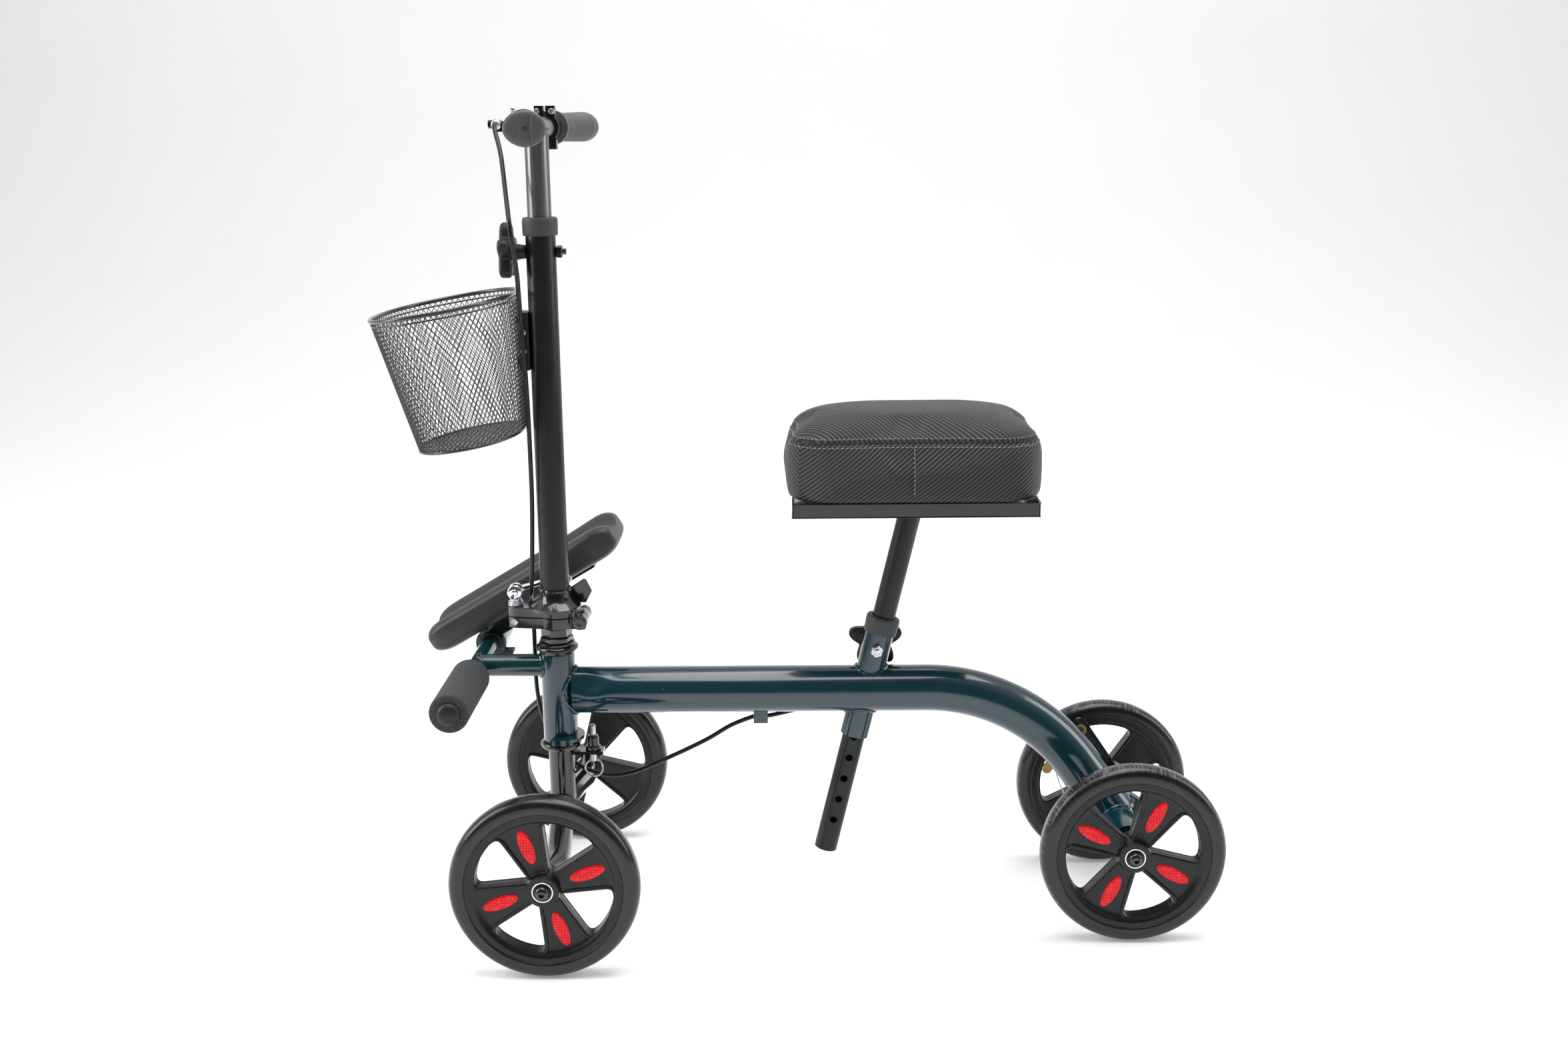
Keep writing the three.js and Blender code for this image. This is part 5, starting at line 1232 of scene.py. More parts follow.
def build_post():
    profile = [(11.0, 1), (12.7, 0.4), (12.7, 408), (11.0, 408)]
    tube_part = lathe(profile, post_point(0), POST_RUN, 48, True)
    obj = mesh_object("seat_post_tube", [tube_part])
    cutters = []
    for i in range(6):
        centre = post_point(39 + 25.4 * i)
        cutters.append(rod(centre - Y * 20 * MM, centre + Y * 20 * MM, 4.2, 28))
    cutter = mesh_object("post_holes", cutters)
    cut_away(obj, cutter)
    place(obj, "seat", POST, ["seat_post"])
    head = block(at(77.6, 0, 462.2), (80, 48, 6.6))
    piece("post_head_plate", [head], "seat", BLACK, bevel=1.0)
    neck = [post_point(404) + (Vector((math.cos(TAU * i / 40), math.sin(TAU * i / 40),
                                       0)) * 13.3 * MM) for i in range(40)]
    piece("post_weld", [bead(neck, 1.8)], "seat", POST)


def cut_away(obj, cutter):
    """Subtracts the cutter from the object for good, and removes the cutter."""
    modifier = obj.modifiers.new("cut", "BOOLEAN")
    modifier.operation = "DIFFERENCE"
    modifier.solver = "EXACT"
    modifier.object = cutter
    graph = bpy.context.evaluated_depsgraph_get()
    mesh = bpy.data.meshes.new_from_object(obj.evaluated_get(graph))
    obj.modifiers.clear()
    obj.data = mesh
    bpy.data.objects.remove(cutter)
    mesh.polygons.foreach_set("use_smooth", [True] * len(mesh.polygons))
    mesh.set_sharp_from_angle(angle=math.radians(35))


def build_seat_clamp():
    collar = rounded([(13.4, 262.4), (17.8, 262.4, 0.8), (18.4, 264, 1), (18.9, 279, 1.2), (18, 282, 1.4),
                      (13.4, 282.3)])
    piece("seat_post_collar", [lathe(collar, post_point(0), POST_RUN, 56, True)], "frame", SATIN,
          ["seat_collar"])
    centre = post_point(246)
    nut = [
        lathe(rounded([(0, 16.3), (6.4, 16.3), (7.2, 17), (7.2, 21.6), (6.2, 23, 0.5), (0, 23)]), centre,
              -Y, 6),
        lathe([(3.4, 22), (3.4, 25.2), (2.8, 26), (0, 26)], centre, -Y, 24),
    ]
    piece("seat_bolt_nut", nut, "frame", ZINC, ["seat_nut"], angle=28)
    star_knob("seat_knob_star", centre + Y * 21.5 * MM, Y, Z, 31, 13, "seat_knob", ["seat_knob"], 4.5)


def rounded_outline(half_x, half_y, corner, steps=96):
    """Points round a rectangle with round corners, evenly by angle."""
    points = []
    for i in range(steps):
        a = TAU * i / steps
        c, s = math.cos(a), math.sin(a)
        core = Vector((half_x - corner, half_y - corner))
        far = min(half_x / max(abs(c), 1e-6), half_y / max(abs(s), 1e-6))
        p = Vector((c * far, s * far))
        inner = Vector((max(-core.x, min(core.x, p.x)), max(-core.y, min(core.y, p.y))))
        out = p - inner
        points.append(inner + out.normalized() * corner if out.length > 1e-6 else p)
    return points


def cushion_shape(shrink):
    """The stuffed block before it swells: straight sides, round corners, soft crown, tucked foot."""
    base = TRAY_TOP + 0.6
    top = CUSHION_TOP - shrink
    rows = [(0.0, 5), (1.6, 2.5), (6, 1), (14, 0.3), (26, 0), (44, 0), (58, 0.2), (68, 1), (76, 3), (82, 6.5),
            (87, 12), (91.5, 20), (95.5, 31), (98.6, 45), (100.4, 60), (101, 74)]
    verts, faces, count = [], [], 96
    for height, inset in rows:
        z = base + (top - base) * height / 101
        outline = rounded_outline(CUSHION_HALF[0] - shrink - inset, CUSHION_HALF[1] - shrink - inset,
                                  max(10.0, 44 - inset * 0.5), count)
        verts.extend(at(CUSHION_MIDDLE + p.x, p.y, z) for p in outline)
    for i in range(len(rows) - 1):
        for j in range(count):
            k = (j + 1) % count
            faces.append((i * count + j, i * count + k, (i + 1) * count + k, (i + 1) * count + j))
    faces.append(tuple(range(count - 1, -1, -1)))
    faces.append(tuple((len(rows) - 1) * count + j for j in range(count)))
    return verts, faces


def swell(obj, voxel, frames, pressure, cap):
    """Remeshes the piece evenly, lets cloth pressure stuff it, and moves no point further than cap mm."""
    remesh = obj.modifiers.new("even", "REMESH")
    remesh.mode = "VOXEL"
    remesh.voxel_size = voxel * MM
    graph = bpy.context.evaluated_depsgraph_get()
    obj.data = bpy.data.meshes.new_from_object(obj.evaluated_get(graph))
    obj.modifiers.clear()
    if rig.quick():
        return
    rest = np.array([v.co for v in obj.data.vertices])
    pinned = obj.vertex_groups.new(name="held")
    pinned.add([i for i, co in enumerate(rest) if co[2] < (TRAY_TOP + 4) * MM], 1.0, "REPLACE")
    cloth = obj.modifiers.new("stuffing", "CLOTH")
    settings = cloth.settings
    settings.use_pressure = True
    settings.uniform_pressure_force = pressure
    settings.effector_weights.gravity = 0
    settings.vertex_group_mass = "held"
    settings.tension_stiffness = 22
    settings.compression_stiffness = 22
    settings.bending_stiffness = 1.2
    settings.quality = 6
    cloth.collision_settings.use_collision = False
    cloth.point_cache.frame_start, cloth.point_cache.frame_end = 1, frames
    scene = bpy.context.scene
    for step in range(1, frames + 1):
        scene.frame_set(step)
    graph = bpy.context.evaluated_depsgraph_get()
    swollen = obj.evaluated_get(graph).to_mesh()
    moved = np.array([v.co for v in swollen.vertices])
    obj.modifiers.clear()
    scene.frame_set(1)
    shift = moved - rest
    length = np.linalg.norm(shift, axis=1, keepdims=True)
    shift *= np.minimum(1.0, cap * MM / np.maximum(length, 1e-9))
    obj.data.vertices.foreach_set("co", (rest + shift).ravel())
    obj.data.update()


def subdivide_once(obj):
    modifier = obj.modifiers.new("smooth", "SUBSURF")
    modifier.levels = modifier.render_levels = 1
    graph = bpy.context.evaluated_depsgraph_get()
    obj.data = bpy.data.meshes.new_from_object(obj.evaluated_get(graph))
    obj.modifiers.clear()
    obj.data.polygons.foreach_set("use_smooth", [True] * len(obj.data.polygons))


VERTICAL_SEAM_X = 73.0


def build_cushion():
    obj = mesh_object("knee_cushion_cover", [cushion_shape(0.5)], 180)
    swell(obj, 5.0, 20, 4.0, 5.0)
    subdivide_once(obj)
    mesh = obj.data
    normals = [v.normal.copy() for v in mesh.vertices]
    seam_x = at(VERTICAL_SEAM_X, 0, 0).x
    for vertex, normal in zip(mesh.vertices, normals):
        rise = (vertex.co.z - SEAM_Z * MM) / MM
        depth = 2.0 * math.exp(-((rise / 1.6) ** 2))
        if rise < 0 and abs(normal.y) > 0.6:
            aside = (vertex.co.x - seam_x) / MM
            depth = max(depth, 1.3 * math.exp(-((aside / 1.5) ** 2)))
        vertex.co -= Vector((normal.x, normal.y, 0)) * depth * MM
    lowest = TRAY_TOP * MM
    for vertex in mesh.vertices:
        vertex.co.z = max(vertex.co.z, lowest)
    mesh.update()
    place(obj, "seat", VINYL, ["knee_cushion"])
    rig.padded(obj, fill=0.9)
    surface = BVHTree.FromPolygons([v.co.copy() for v in mesh.vertices],
                                   [tuple(p.vertices) for p in mesh.polygons])
    build_stitches(surface)
    build_tray()


def surface_point(surface, direction, z, lift):
    """Where a level line from outside, towards the cushion's middle, meets the cover."""
    centre = at(CUSHION_MIDDLE, 0, z)
    hit, _, _, _ = surface.ray_cast(centre + direction * 0.4, -direction)
    return None if hit is None else hit + direction * lift * MM


def build_stitches(surface):
    loop = []
    for i in range(720):
        a = TAU * i / 720
        p = surface_point(surface, Vector((math.cos(a), math.sin(a), 0)), SEAM_Z, 0.3)
        if p is not None:
            loop.append(p)
    loop = even_points(loop + [loop[0]], 2.0)
    piece("cushion_seam", [tube(loop[:-1], 0.7, 8, True)], "seat", VINYL)
    threads = []
    for z in (SEAM_Z - 4.2, SEAM_Z + 4.2):
        around = []
        for i in range(720):
            a = TAU * i / 720
            p = surface_point(surface, Vector((math.cos(a), math.sin(a), 0)), z, 0.15)
            if p is not None:
                around.append(p)
        threads += stitch_row(even_points(around + [around[0]], 0.6))
    for side in (-1, 1):
        down = []
        for z in np.linspace(SEAM_Z - 5, TRAY_TOP + 8, 90):
            origin = at(VERTICAL_SEAM_X + 2.6, side * 300, z)
            hit = surface.ray_cast(origin, Vector((0, -side, 0)))[0]
            if hit is not None:
                down.append(hit + Y * side * 0.15 * MM)
        threads += stitch_row(even_points(down, 0.6))
    piece("cushion_stitches", threads, "seat", THREAD, angle=60)


def even_points(points, step):
    """The same line with its points step mm apart."""
    result, carried = [points[0]], 0.0
    for a, b in zip(points, points[1:]):
        length = (b - a).length / MM
        while carried + length >= step:
            t = (step - carried) / length
            a = a.lerp(b, t)
            result.append(a)
            length = (b - a).length / MM
            carried = 0.0
        carried += length
    return result


def stitch_row(line):
    """Short threads, 3 mm long and 1.8 mm apart, along a line of points 0.6 mm apart."""
    threads = []
    for i in range(0, len(line) - 6, 8):
        threads.append(tube(line[i:i + 6], lambda j, a: 0.42 if 0 < j < 5 else 0.16, 6))
    return threads


def build_tray():
    low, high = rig.box("seat_tray")
    x0, x1 = (low.x - SHIFT) / MM, (high.x - SHIFT) / MM
    y1 = high.y / MM
    parts = [block(at((x0 + x1) / 2, 0, 467), (x1 - x0, 2 * y1, 2))]
    for y in (-y1 + 1, y1 - 1):
        parts.append(block(at((x0 + x1) / 2, y, 473.7), (x1 - x0, 2, 14.6)))
    for x in (x0 + 1, x1 - 1):
        parts.append(block(at(x, 0, 473.7), (2, 2 * y1, 14.6)))
    piece("seat_tray_sheet", parts, "seat", BLACK, ["seat_tray"], bevel=0.5)
    screws = []
    for x in (-18, 174):
        for y in (-62, 62):
            screws.append(lathe([(0, 463.4), (3.4, 463.6), (5, 464.8), (5.2, 466.2), (0, 466.2)],
                                at(x, y, 0), Z, 24))
    piece("tray_screws", screws, "seat", ZINC)


# ---------------------------------------------------------------- leg rest and foam roller
PAD_TILT = math.radians(30.6)
PAD_ALONG = Vector((math.cos(PAD_TILT), 0, math.sin(PAD_TILT)))
PAD_UP = Vector((-math.sin(PAD_TILT), 0, math.cos(PAD_TILT)))


def on_pad(s, y, h):
    """A point on the sloping pad: s along it, y across from its middle and h above its middle plane."""
    return at(-365, 110, 349.5) + (PAD_ALONG * s + Y * y + PAD_UP * h) * MM


def pad_section(count=72):
    """The pad's cross-section, as (y, h): a flat underside, full sides, two lips and the trough between."""
    outline = []
    for i in range(count):
        a = TAU * i / count
        c, s = math.cos(a), math.sin(a)
        y = 50 * math.copysign(abs(c) ** 0.42, c)
        h = 19 * math.copysign(abs(s) ** 0.5, s)
        if s > 0:
            u = min(1.0, abs(y) / 36)
            h -= 16 * (0.5 + 0.5 * math.cos(math.pi * u)) * s**0.3
        outline.append((y, h))
    return outline


def build_leg_rest():
    section = pad_section()
    stations = [-125, -124.6, -123.4, -121, -117, -112, -106, -98, -82, -60, -40, -20, 0, 20, 40, 60, 76,
                90, 99, 107,
                114, 119.5, 123, 124.6, 125]
    verts, faces, count = [], [], len(section)
    for s in stations:
        near_end = max(0.0, abs(s) - 99) / 26
        shrink = math.sqrt(max(0.0, 1 - near_end**2.2))
        round_off = 0.42 + 0.58 * shrink
        rear = max(0.0, (s - 40) / 85)
        for y, h in section:
            lip = 9.0 * rear**1.5 * max(0.0, abs(y) / 50 - 0.4) * shrink if h > 2 else 0.0
            verts.append(on_pad(s, y * (0.8 + 0.2 * shrink), (h + lip) * round_off))
    for i in range(len(stations) - 1):
        for j in range(count):
            k = (j + 1) % count
            faces.append((i * count + j, i * count + k, (i + 1) * count + k, (i + 1) * count + j))
    for end, order in ((0, range(count - 1, -1, -1)), (len(stations) - 1, range(count))):
        faces.append(tuple(end * count + j for j in order))
    obj = mesh_object("leg_rest_cushion", [(verts, faces)], 75)
    subsurf = obj.modifiers.new("smooth", "SUBSURF")
    subsurf.levels = subsurf.render_levels = 1
    place(obj, "leg_rest", PAD, ["leg_rest_pad"])
    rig.padded(obj, fill=1.0)
    line = []
    for side in (-1, 1):
        edge = [on_pad(s, side * 50 * (0.8 + 0.2 * math.sqrt(max(0.0, 1 - (max(0.0, abs(s) - 99) / 26) ** 2.2))),
                       5.5)
                for s in np.linspace(-122, 122, 60)]
        line.append(tube(edge, 0.45, 8))
    piece("leg_rest_parting_line", line, "leg_rest", PAD)
    dress("leg_rest_bracket", BLACK, 0.8)
    bush = rounded([(10.8, 80), (13.6, 80, 0.8), (13.6, 140, 0.8), (10.8, 140)])
    piece("leg_rest_rubber_bush", [lathe(bush, at(-406, 0, 282), Y, 48, True)], "frame", PAD,
          ["leg_rest_bush"])
    build_leg_rest_fittings()


def build_leg_rest_fittings():
    ring = rounded([(14.2, 84), (17.8, 84, 0.8), (17.8, 104, 0.8), (14.2, 104)])
    piece("leg_rest_ring", [lathe(ring, at(-406, 0, 282), Y, 48, True)], "leg_rest", BLACK)
    knob = [
        lathe(rounded([(3, 0), (9, 0.5, 1), (10, 5, 1), (9, 10, 1.4), (0, 11)]), at(-390, 94, 262), Z * -1,
              10),
        rod(at(-390, 94, 262), at(-390, 94, 272), 3.4, 16),
        block(at(-392, 94, 270), (22, 16, 4)),
    ]
    piece("leg_rest_clamp_bolt", knob, "leg_rest", PLASTIC, bevel=0.5, angle=30)


def build_roller():
    profile = rounded([(10.8, -166), (19.6, -166, 1.2), (21, -164, 1.6), (21, -44, 1.6), (19.6, -42, 1.2),
                       (10.8, -42)])
    obj = piece("foam_sleeve", [lathe(profile, at(-406, 0, 282), Y, 64, True)], "frame", FOAM,
                ["foam_roller"])
    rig.padded(obj, fill=1.0)
    dome = rounded([(10, 0), (12.6, 0.2, 0.6), (12.6, 1.4, 1), (11.2, 4.2, 2.4), (7, 6.6, 2.4), (0, 7.4)])
    piece("roller_end_plug", [lathe(dome, at(-406, -166.3, 282), -Y, 48)], "frame", PLASTIC,
          ["foam_roller_plug"])


# ---------------------------------------------------------------- wheels
WINDOW_LEAN = math.radians(31)
WINDOW_APEX = 14.3
WINDOW_OUTER = 73.0
WINDOW_HUB_ROUND = 8.0
WINDOW_RIM_ROUND = 10.0
WINDOW_ARC_POINTS = 15
ROUND_GROWTH = 0.6


def window_outline(grow=0.0):
    """One window of the wheel, about the X direction: a blunt point at the hub and an arc at the rim."""
    lean = WINDOW_LEAN
    apex = WINDOW_APEX - grow / math.sin(lean)
    outer = WINDOW_OUTER + grow
    run = outer / math.cos(lean)
    for _ in range(3):
        tip = Vector((apex + run * math.cos(lean), run * math.sin(lean)))
        run *= outer / tip.length
    reach = Vector((apex + run * math.cos(lean), run * math.sin(lean)))
    half = math.atan2(reach.y, reach.x)
    angles = np.linspace(-half, half, WINDOW_ARC_POINTS)
    arc = [Vector((outer * math.cos(a), outer * math.sin(a))) for a in angles]
    hub_round = WINDOW_HUB_ROUND + grow * ROUND_GROWTH
    rim_round = WINDOW_RIM_ROUND + grow * ROUND_GROWTH
    radii = [hub_round, rim_round] + [0.0] * (WINDOW_ARC_POINTS - 2) + [rim_round]
    return fillet([Vector((apex, 0))] + arc, radii)


def fillet(corners, radii, steps=7):
    result = []
    count = len(corners)
    for i, (p, r) in enumerate(zip(corners, radii)):
        if r <= 0:
            result.append(p)
            continue
        a = (corners[i - 1] - p).normalized()
        b = (corners[(i + 1) % count] - p).normalized()
        if (corners[(i + 1) % count] - p).length < r:
            b = (corners[(i + 3) % count] - p).normalized()
        if (corners[i - 1] - p).length < r:
            a = (corners[i - 3] - p).normalized()
        for s in range(steps + 1):
            t = s / steps
            result.append((p + a * r) * (1 - t) ** 2 + p * 2 * t * (1 - t) + (p + b * r) * t**2)
    kept = [result[0]]
    for p in result[1:]:
        if (p - kept[-1]).length > 0.6 and not near_corner(p, corners, radii):
            kept.append(p)
    return kept


def near_corner(p, corners, radii):
    """True for an arc point that a rounded corner has already cut off."""
    return any(r > 0 and p in corners and (p - c).length < r * 0.9 for c, r in zip(corners, radii))


def wheel_disc():
    """The moulded wheel centre round the origin, with its axle along Y and a spoke along +X."""
    profile = rounded([(11.2, -17.6), (16.2, -18, 0.8), (17.2, -16.4, 1), (18.2, -8.6, 2), (30, -7, 4),
                       (66, -7, 4),
                       (72, -8.4, 2), (75.5, -11.6, 1.4), (78, -12.4, 0.8), (82.7, -12.4), (82.7, 12.4),
                       (78, 12.4, 0.8),
                       (75.5, 11.6, 1.4), (72, 8.4, 2), (66, 7, 4), (30, 7, 4), (18.2, 8.6, 2),
                       (17.2, 16.4, 1),
                       (16.2, 18, 0.8), (11.2, 17.6)])
    disc = mesh_object("disc", [lathe(profile, Vector(), Y, 120, True)])
    cutters, ridges = [], []
    for k in range(4):
        a = math.radians(45 + 90 * k)
        u = Vector((math.cos(a), 0, math.sin(a)))
        v = Vector((-math.sin(a), 0, math.cos(a)))
        outline = window_outline()
        cutters.append(prism([(p.x, p.y) for p in outline], Y * 0.03, u, v, 60))
        for side in (-1, 1):
            ridge = [(u * p.x + v * p.y) * MM + Y * side * 7.4 * MM for p in window_outline(1.7)]
            ridges.append(tube(ridge, lambda i, ang: 2.1, 12, True))
        wall = [(u * p.x + v * p.y) * MM for p in window_outline(0.9)]
        ridges.append(tube(wall, lambda i, ang: (1.1, 8.2), 16, True, up=Y))
    cut_away(disc, mesh_object("windows", cutters))
    return disc, ridges


def tyre_profile():
    half = [(82.9, 12.6), (83.6, 13.4), (85.2, 13.9), (88, 14), (91, 13.9), (94, 13.1), (96.4, 11.6),
            (98.2, 9.2),
            (99.3, 6.4), (99.9, 3.2), (100, 0)]
    return half + [(r, -h) for r, h in reversed(half[:-1])]


def build_wheels():
    disc, ridges = wheel_disc()
    ridge_mesh = mesh_object("ridges", ridges, 70)
    tyre = mesh_object("tyre_shape", [lathe(tyre_profile(), Vector(), Y, 144, True)], 50)
    places = (("front_near", -312, -182, 19.6), ("front_far", -312, 182, 62.0),
              ("rear_near", 312, -105, 61.75),
              ("rear_far", 312, 105, 41.0))
    for name, x, y, angle in places:
        turn = Matrix.Rotation(-math.radians(angle), 4, "Y")
        centre = Matrix.Translation(at(x, y, 100))
        body = "wheel_" + name
        outside = -1 if y < 0 else 1
        place(stand(disc.data, f"rim_{name}_moulding", centre, turn), body, WHEEL, [f"rim_{name}"])
        place(stand(ridge_mesh.data, f"rim_{name}_ridges", centre, turn), body, WHEEL)
        skin = WORN_TYRE if name.startswith("rear") else TYRE
        place(stand(tyre.data, f"tyre_{name}_solid", centre, turn), body, skin, [f"tyre_{name}"])
        trim = mesh_object(f"reflectors_{name}", reflectors(outside), 40)
        trim.data.transform(turn)
        trim.matrix_world = centre
        place(trim, body, REFLECTOR)
        for side in (-1, 1):
            where = "out" if side == outside else "in"
            seat = Y * side * 17.2 * MM
            ring = rounded([(9.9, 0), (9.9, 1.3, 0.2), (11.2, 1.3, 0.4), (11.2, -6), (9.9, -6)])
            bearing = mesh_object(f"bearing_{name}_{where}", [lathe(ring, seat, Y * side, 48, True)])
            bearing.matrix_world = centre
            place(bearing, body, CHROME)
            seal = mesh_object(f"seal_{name}_{where}",
                               [lathe([(6.4, -5), (6.4, 0.5), (9.9, 0.4), (9.9, -5)], seat,
                                                              Y * side, 48, True)])
            seal.matrix_world = centre
            place(seal, body, SEAL)
    for spare in (disc, ridge_mesh, tyre):
        bpy.data.objects.remove(spare)
    dress("brake_drum", ZINC, 0.4)


def stand(mesh, name, centre, turn):
    """A copy of a wheel part, turned about its axle and stood at the wheel's centre."""
    obj = bpy.data.objects.new(name, mesh.copy())
    obj.data.transform(turn)
    bpy.context.scene.collection.objects.link(obj)
    obj.matrix_world = centre
    return obj


def reflectors(side):
    """Four long ovals, slightly domed, on the outer face of the spokes."""
    parts = []
    for k in range(4):
        a = math.radians(90 * k)
        u = Vector((math.cos(a), 0, math.sin(a)))
        v = Vector((-math.sin(a), 0, math.cos(a)))
        rows = [(0.0, 6.4), (1.0, 6.6), (1.0, 7.6), (0.93, 8.1), (0.7, 8.4), (0.35, 8.55), (0.01, 8.6)]
        verts, faces, count = [], [], 40
        for size, height in rows:
            for i in range(count):
                b = TAU * i / count
                verts.append((u * (48.5 + 19.5 * size * math.cos(b)) + v * 7 * size * math.sin(b)
                              + Y * side * height) * MM)
        for i in range(len(rows) - 1):
            for j in range(count):
                n = (j + 1) % count
                faces.append((i * count + j, i * count + n, (i + 1) * count + n, (i + 1) * count + j))
        faces.append(tuple((len(rows) - 1) * count + j for j in range(count)))
        parts.append((verts, faces))
    return parts


# ---------------------------------------------------------------- brake and cable
def build_brake():
    dress("brake_backplate", BLACK, 0.6)
    dress("brake_arm", GOLD, 0.5)
    wire = smooth_path([at(253, 72, 141), at(253.2, 72.2, 135), at(254, 72, 124), at(259, 74, 108),
                        at(266, 76, 92),
                        at(270, 77, 80)], 8)
    piece("brake_inner_wire", [tube(wire, 0.75, 8)], "brake_arm", ZINC)
    ferrule = lathe([(3.4, -10), (3.6, -9), (3.6, 0), (1.2, 1)], at(252, 71, 148),
                    at(252, 71, 138) - at(248, 68, 158), 20)
    piece("brake_cable_ferrule", [ferrule], "frame", ZINC)


UPPER = [(-366, 46, 872), (-366, 38, 871), (-363, 26, 863), (-355, 6, 840), (-347, -22, 800),
         (-340, -48, 768),
         (-337, -38, 725), (-337, -30, 700)]
COLUMN = [(-337, -30, 700), (-337, -24, 670), (-336, -22, 640), (-335, -18, 600), (-335, -13, 540),
          (-336, -8, 470),
          (-339, -4, 410), (-341, -1, 384)]
FOLD = [(-341, -1, 384), (-342.5, 3, 368), (-345, 11, 360.5), (-347, 19.5, 357), (-347, 26, 350),
        (-347, 29, 338),
        (-346, 30, 318)]
LOWER = [(-346, 30, 318), (-346, 30, 290), (-346, 30, 250), (-343, 32, 222), (-336, 34, 196), (-320, 34, 168),
         (-300, 32, 150), (-268, 28, 140), (-238, 24, 145), (-202, 18, 162), (-154, 10, 188), (-124, 7, 207),
         (-98, 6, 217.9)]
REAR = [(-98, 6, 217.9), (-90, 6, 218.3), (-80, 6.5, 218.6), (-60, 14, 220.5), (-30, 25, 224), (20, 33, 232),
        (80, 34, 232), (140, 36, 222), (190, 42, 200), (225, 55, 178), (245, 66, 160), (252, 71, 148)]


def build_cable():
    """One sleeved cable in five stretches, each riding on, or bending between, the bodies that it passes."""
    stretches = (
        ("brake_cable_at_bar", UPPER, ("handlebar", "column"), "brake_cable_upper"),
        ("brake_cable_on_column", COLUMN, ("column",), "brake_cable_column"),
        ("brake_cable_at_fold", FOLD, ("column", "fork"), None),
        ("brake_cable_at_head", LOWER, ("fork", "frame"), "brake_cable_lower"),
        ("brake_cable_on_frame", REAR, ("frame",), "brake_cable_rear"),
    )
    for name, route, bodies, node in stretches:
        path = smooth_path([at(*p) for p in route], 6)
        obj = mesh_object(name, [tube(path, 2.5, 12)], 60)
        obj.data.materials.append(SLEEVE[1])
        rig.slot(obj, SLEEVE[0])
        if node:
            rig.replaces(obj, node)
        if len(bodies) == 1:
            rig.ride(obj, bodies[0])
        else:
            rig.blend(obj, *bodies, start=at(*route[0]), end=at(*route[-1]))
        length = sum((b - a).length for a, b in zip(path, path[1:]))
        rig.cord(obj, exit=path[0], length=round(length, 4), diameter=0.005, far_end="object",
                stiffness="stiff",
                lay="hanging", path=path)


# ---------------------------------------------------------------- camera, light and floor
def aim_camera():
    """The camera stands level with the handlebar and looks slightly down."""
    data = bpy.data.cameras.new("camera")
    data.sensor_width = 36
    data.lens = 39.86
    camera = bpy.data.objects.new("camera", data)
    bpy.context.scene.collection.objects.link(camera)
    yaw, pitch, roll = math.radians(0.76), math.radians(13.04), math.radians(-0.6)
    looking = Matrix.Rotation(math.radians(90), 4, "X")
    turned = Matrix.Rotation(yaw, 4, "Z") @ Matrix.Rotation(-pitch, 4,
                                                            "X") @ looking @ Matrix.Rotation(roll, 4, "Z")
    camera.matrix_world = Matrix.Translation(at(-37.0, -1853.7, 872.8)) @ turned
    bpy.context.scene.camera = camera


def softbox(name, place, target, size, power):
    data = bpy.data.lights.new(name, "AREA")
    data.shape = "RECTANGLE"
    data.size, data.size_y = size
    data.energy = power
    light = bpy.data.objects.new(name, data)
    bpy.context.scene.collection.objects.link(light)
    light.location = place
    light.rotation_mode = "QUATERNION"
    light.rotation_quaternion = (Vector(target) - Vector(place)).to_track_quat("-Z", "Y")


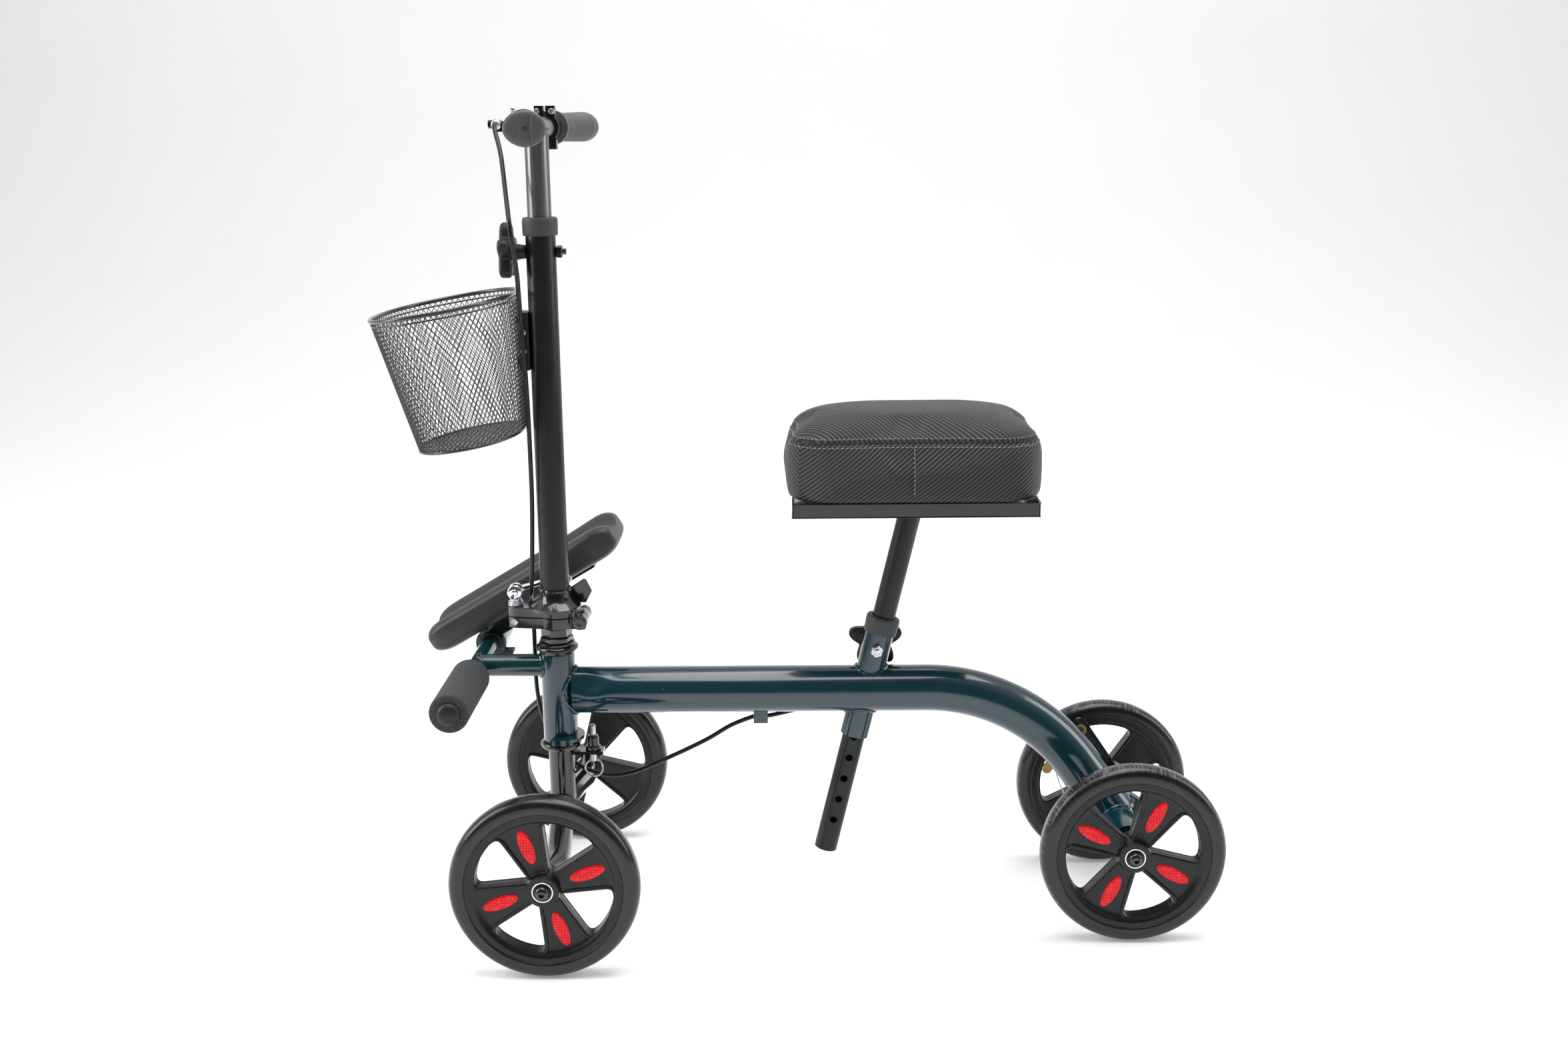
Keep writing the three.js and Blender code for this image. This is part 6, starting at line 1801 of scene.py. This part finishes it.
def build_studio():
    scene = bpy.context.scene
    scene.view_settings.view_transform = "Standard"
    world = bpy.data.worlds.new("studio")
    scene.world = world
    world.use_nodes = True
    tree = world.node_tree
    background = tree.nodes["Background"]
    direction = tree.nodes.new("ShaderNodeTexCoord").outputs["Generated"]
    split = tree.nodes.new("ShaderNodeSeparateXYZ")
    ramp = tree.nodes.new("ShaderNodeMapRange")
    ramp.inputs["From Min"].default_value = -0.75
    ramp.inputs["From Max"].default_value = 0.35
    ramp.inputs["To Min"].default_value = 0.1
    ramp.inputs["To Max"].default_value = 1.0
    tree.links.new(direction, split.inputs[0])
    tree.links.new(split.outputs["Y"], ramp.inputs["Value"])
    tree.links.new(ramp.outputs["Result"], background.inputs["Strength"])
    background.inputs["Color"].default_value = (0.985, 0.99, 1.0, 1)
    softbox("top_light", (0.1, -0.1, 2.7), (0, 0, 0.3), (2.6, 1.8), 62)
    softbox("left_light", (-2.3, -0.4, 1.4), (0, 0, 0.4), (1.0, 1.8), 34)
    softbox("right_light", (2.5, 0.1, 1.4), (0, 0, 0.4), (0.9, 1.8), 18)
    build_floor()


def build_floor():
    """A pale floor that rises into a wall behind the scooter."""
    profile = [(-5.0, 0.0), (2.0, 0.0)]
    for i in range(1, 17):
        a = math.pi / 2 * i / 16
        profile.append((2.0 + 1.5 * math.sin(a), 1.5 - 1.5 * math.cos(a)))
    profile.append((3.5, 6.0))
    verts = [Vector((x, y, z - 0.0005)) for y, z in profile for x in (-9.0, 9.0)]
    faces = [(2 * i, 2 * i + 1, 2 * i + 3, 2 * i + 2) for i in range(len(profile) - 1)]
    floor = mesh_object("floor", [(verts, faces)], 80)
    s = Shader("floor")
    s.set(Base_Color=s.mix(s.noise(3.0, 3.0), (0.9, 0.905, 0.915), (0.95, 0.955, 0.96)), Roughness=0.6)
    s.set(Emission_Color=(0.97, 0.985, 1.0), Emission_Strength=0.22)
    s.bump(s.noise(300.0, 2.0), 0.05, 0.1)
    floor.data.materials.append(s.material)
    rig.stage(floor)


def main():
    aim_camera()
    build_cable()
    build_frame()
    build_headset()
    build_fork()
    build_clamp()
    build_column()
    build_handlebar()
    build_basket()
    build_post()
    build_seat_clamp()
    build_cushion()
    build_leg_rest()
    build_roller()
    build_wheels()
    build_brake()
    build_studio()


main()

sizes = {"cad": [list(p) for p in cad_box], "visual": [list(p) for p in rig.bounds()]}
with open("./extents.json", "w") as size_file:
    json.dump(sizes, size_file)
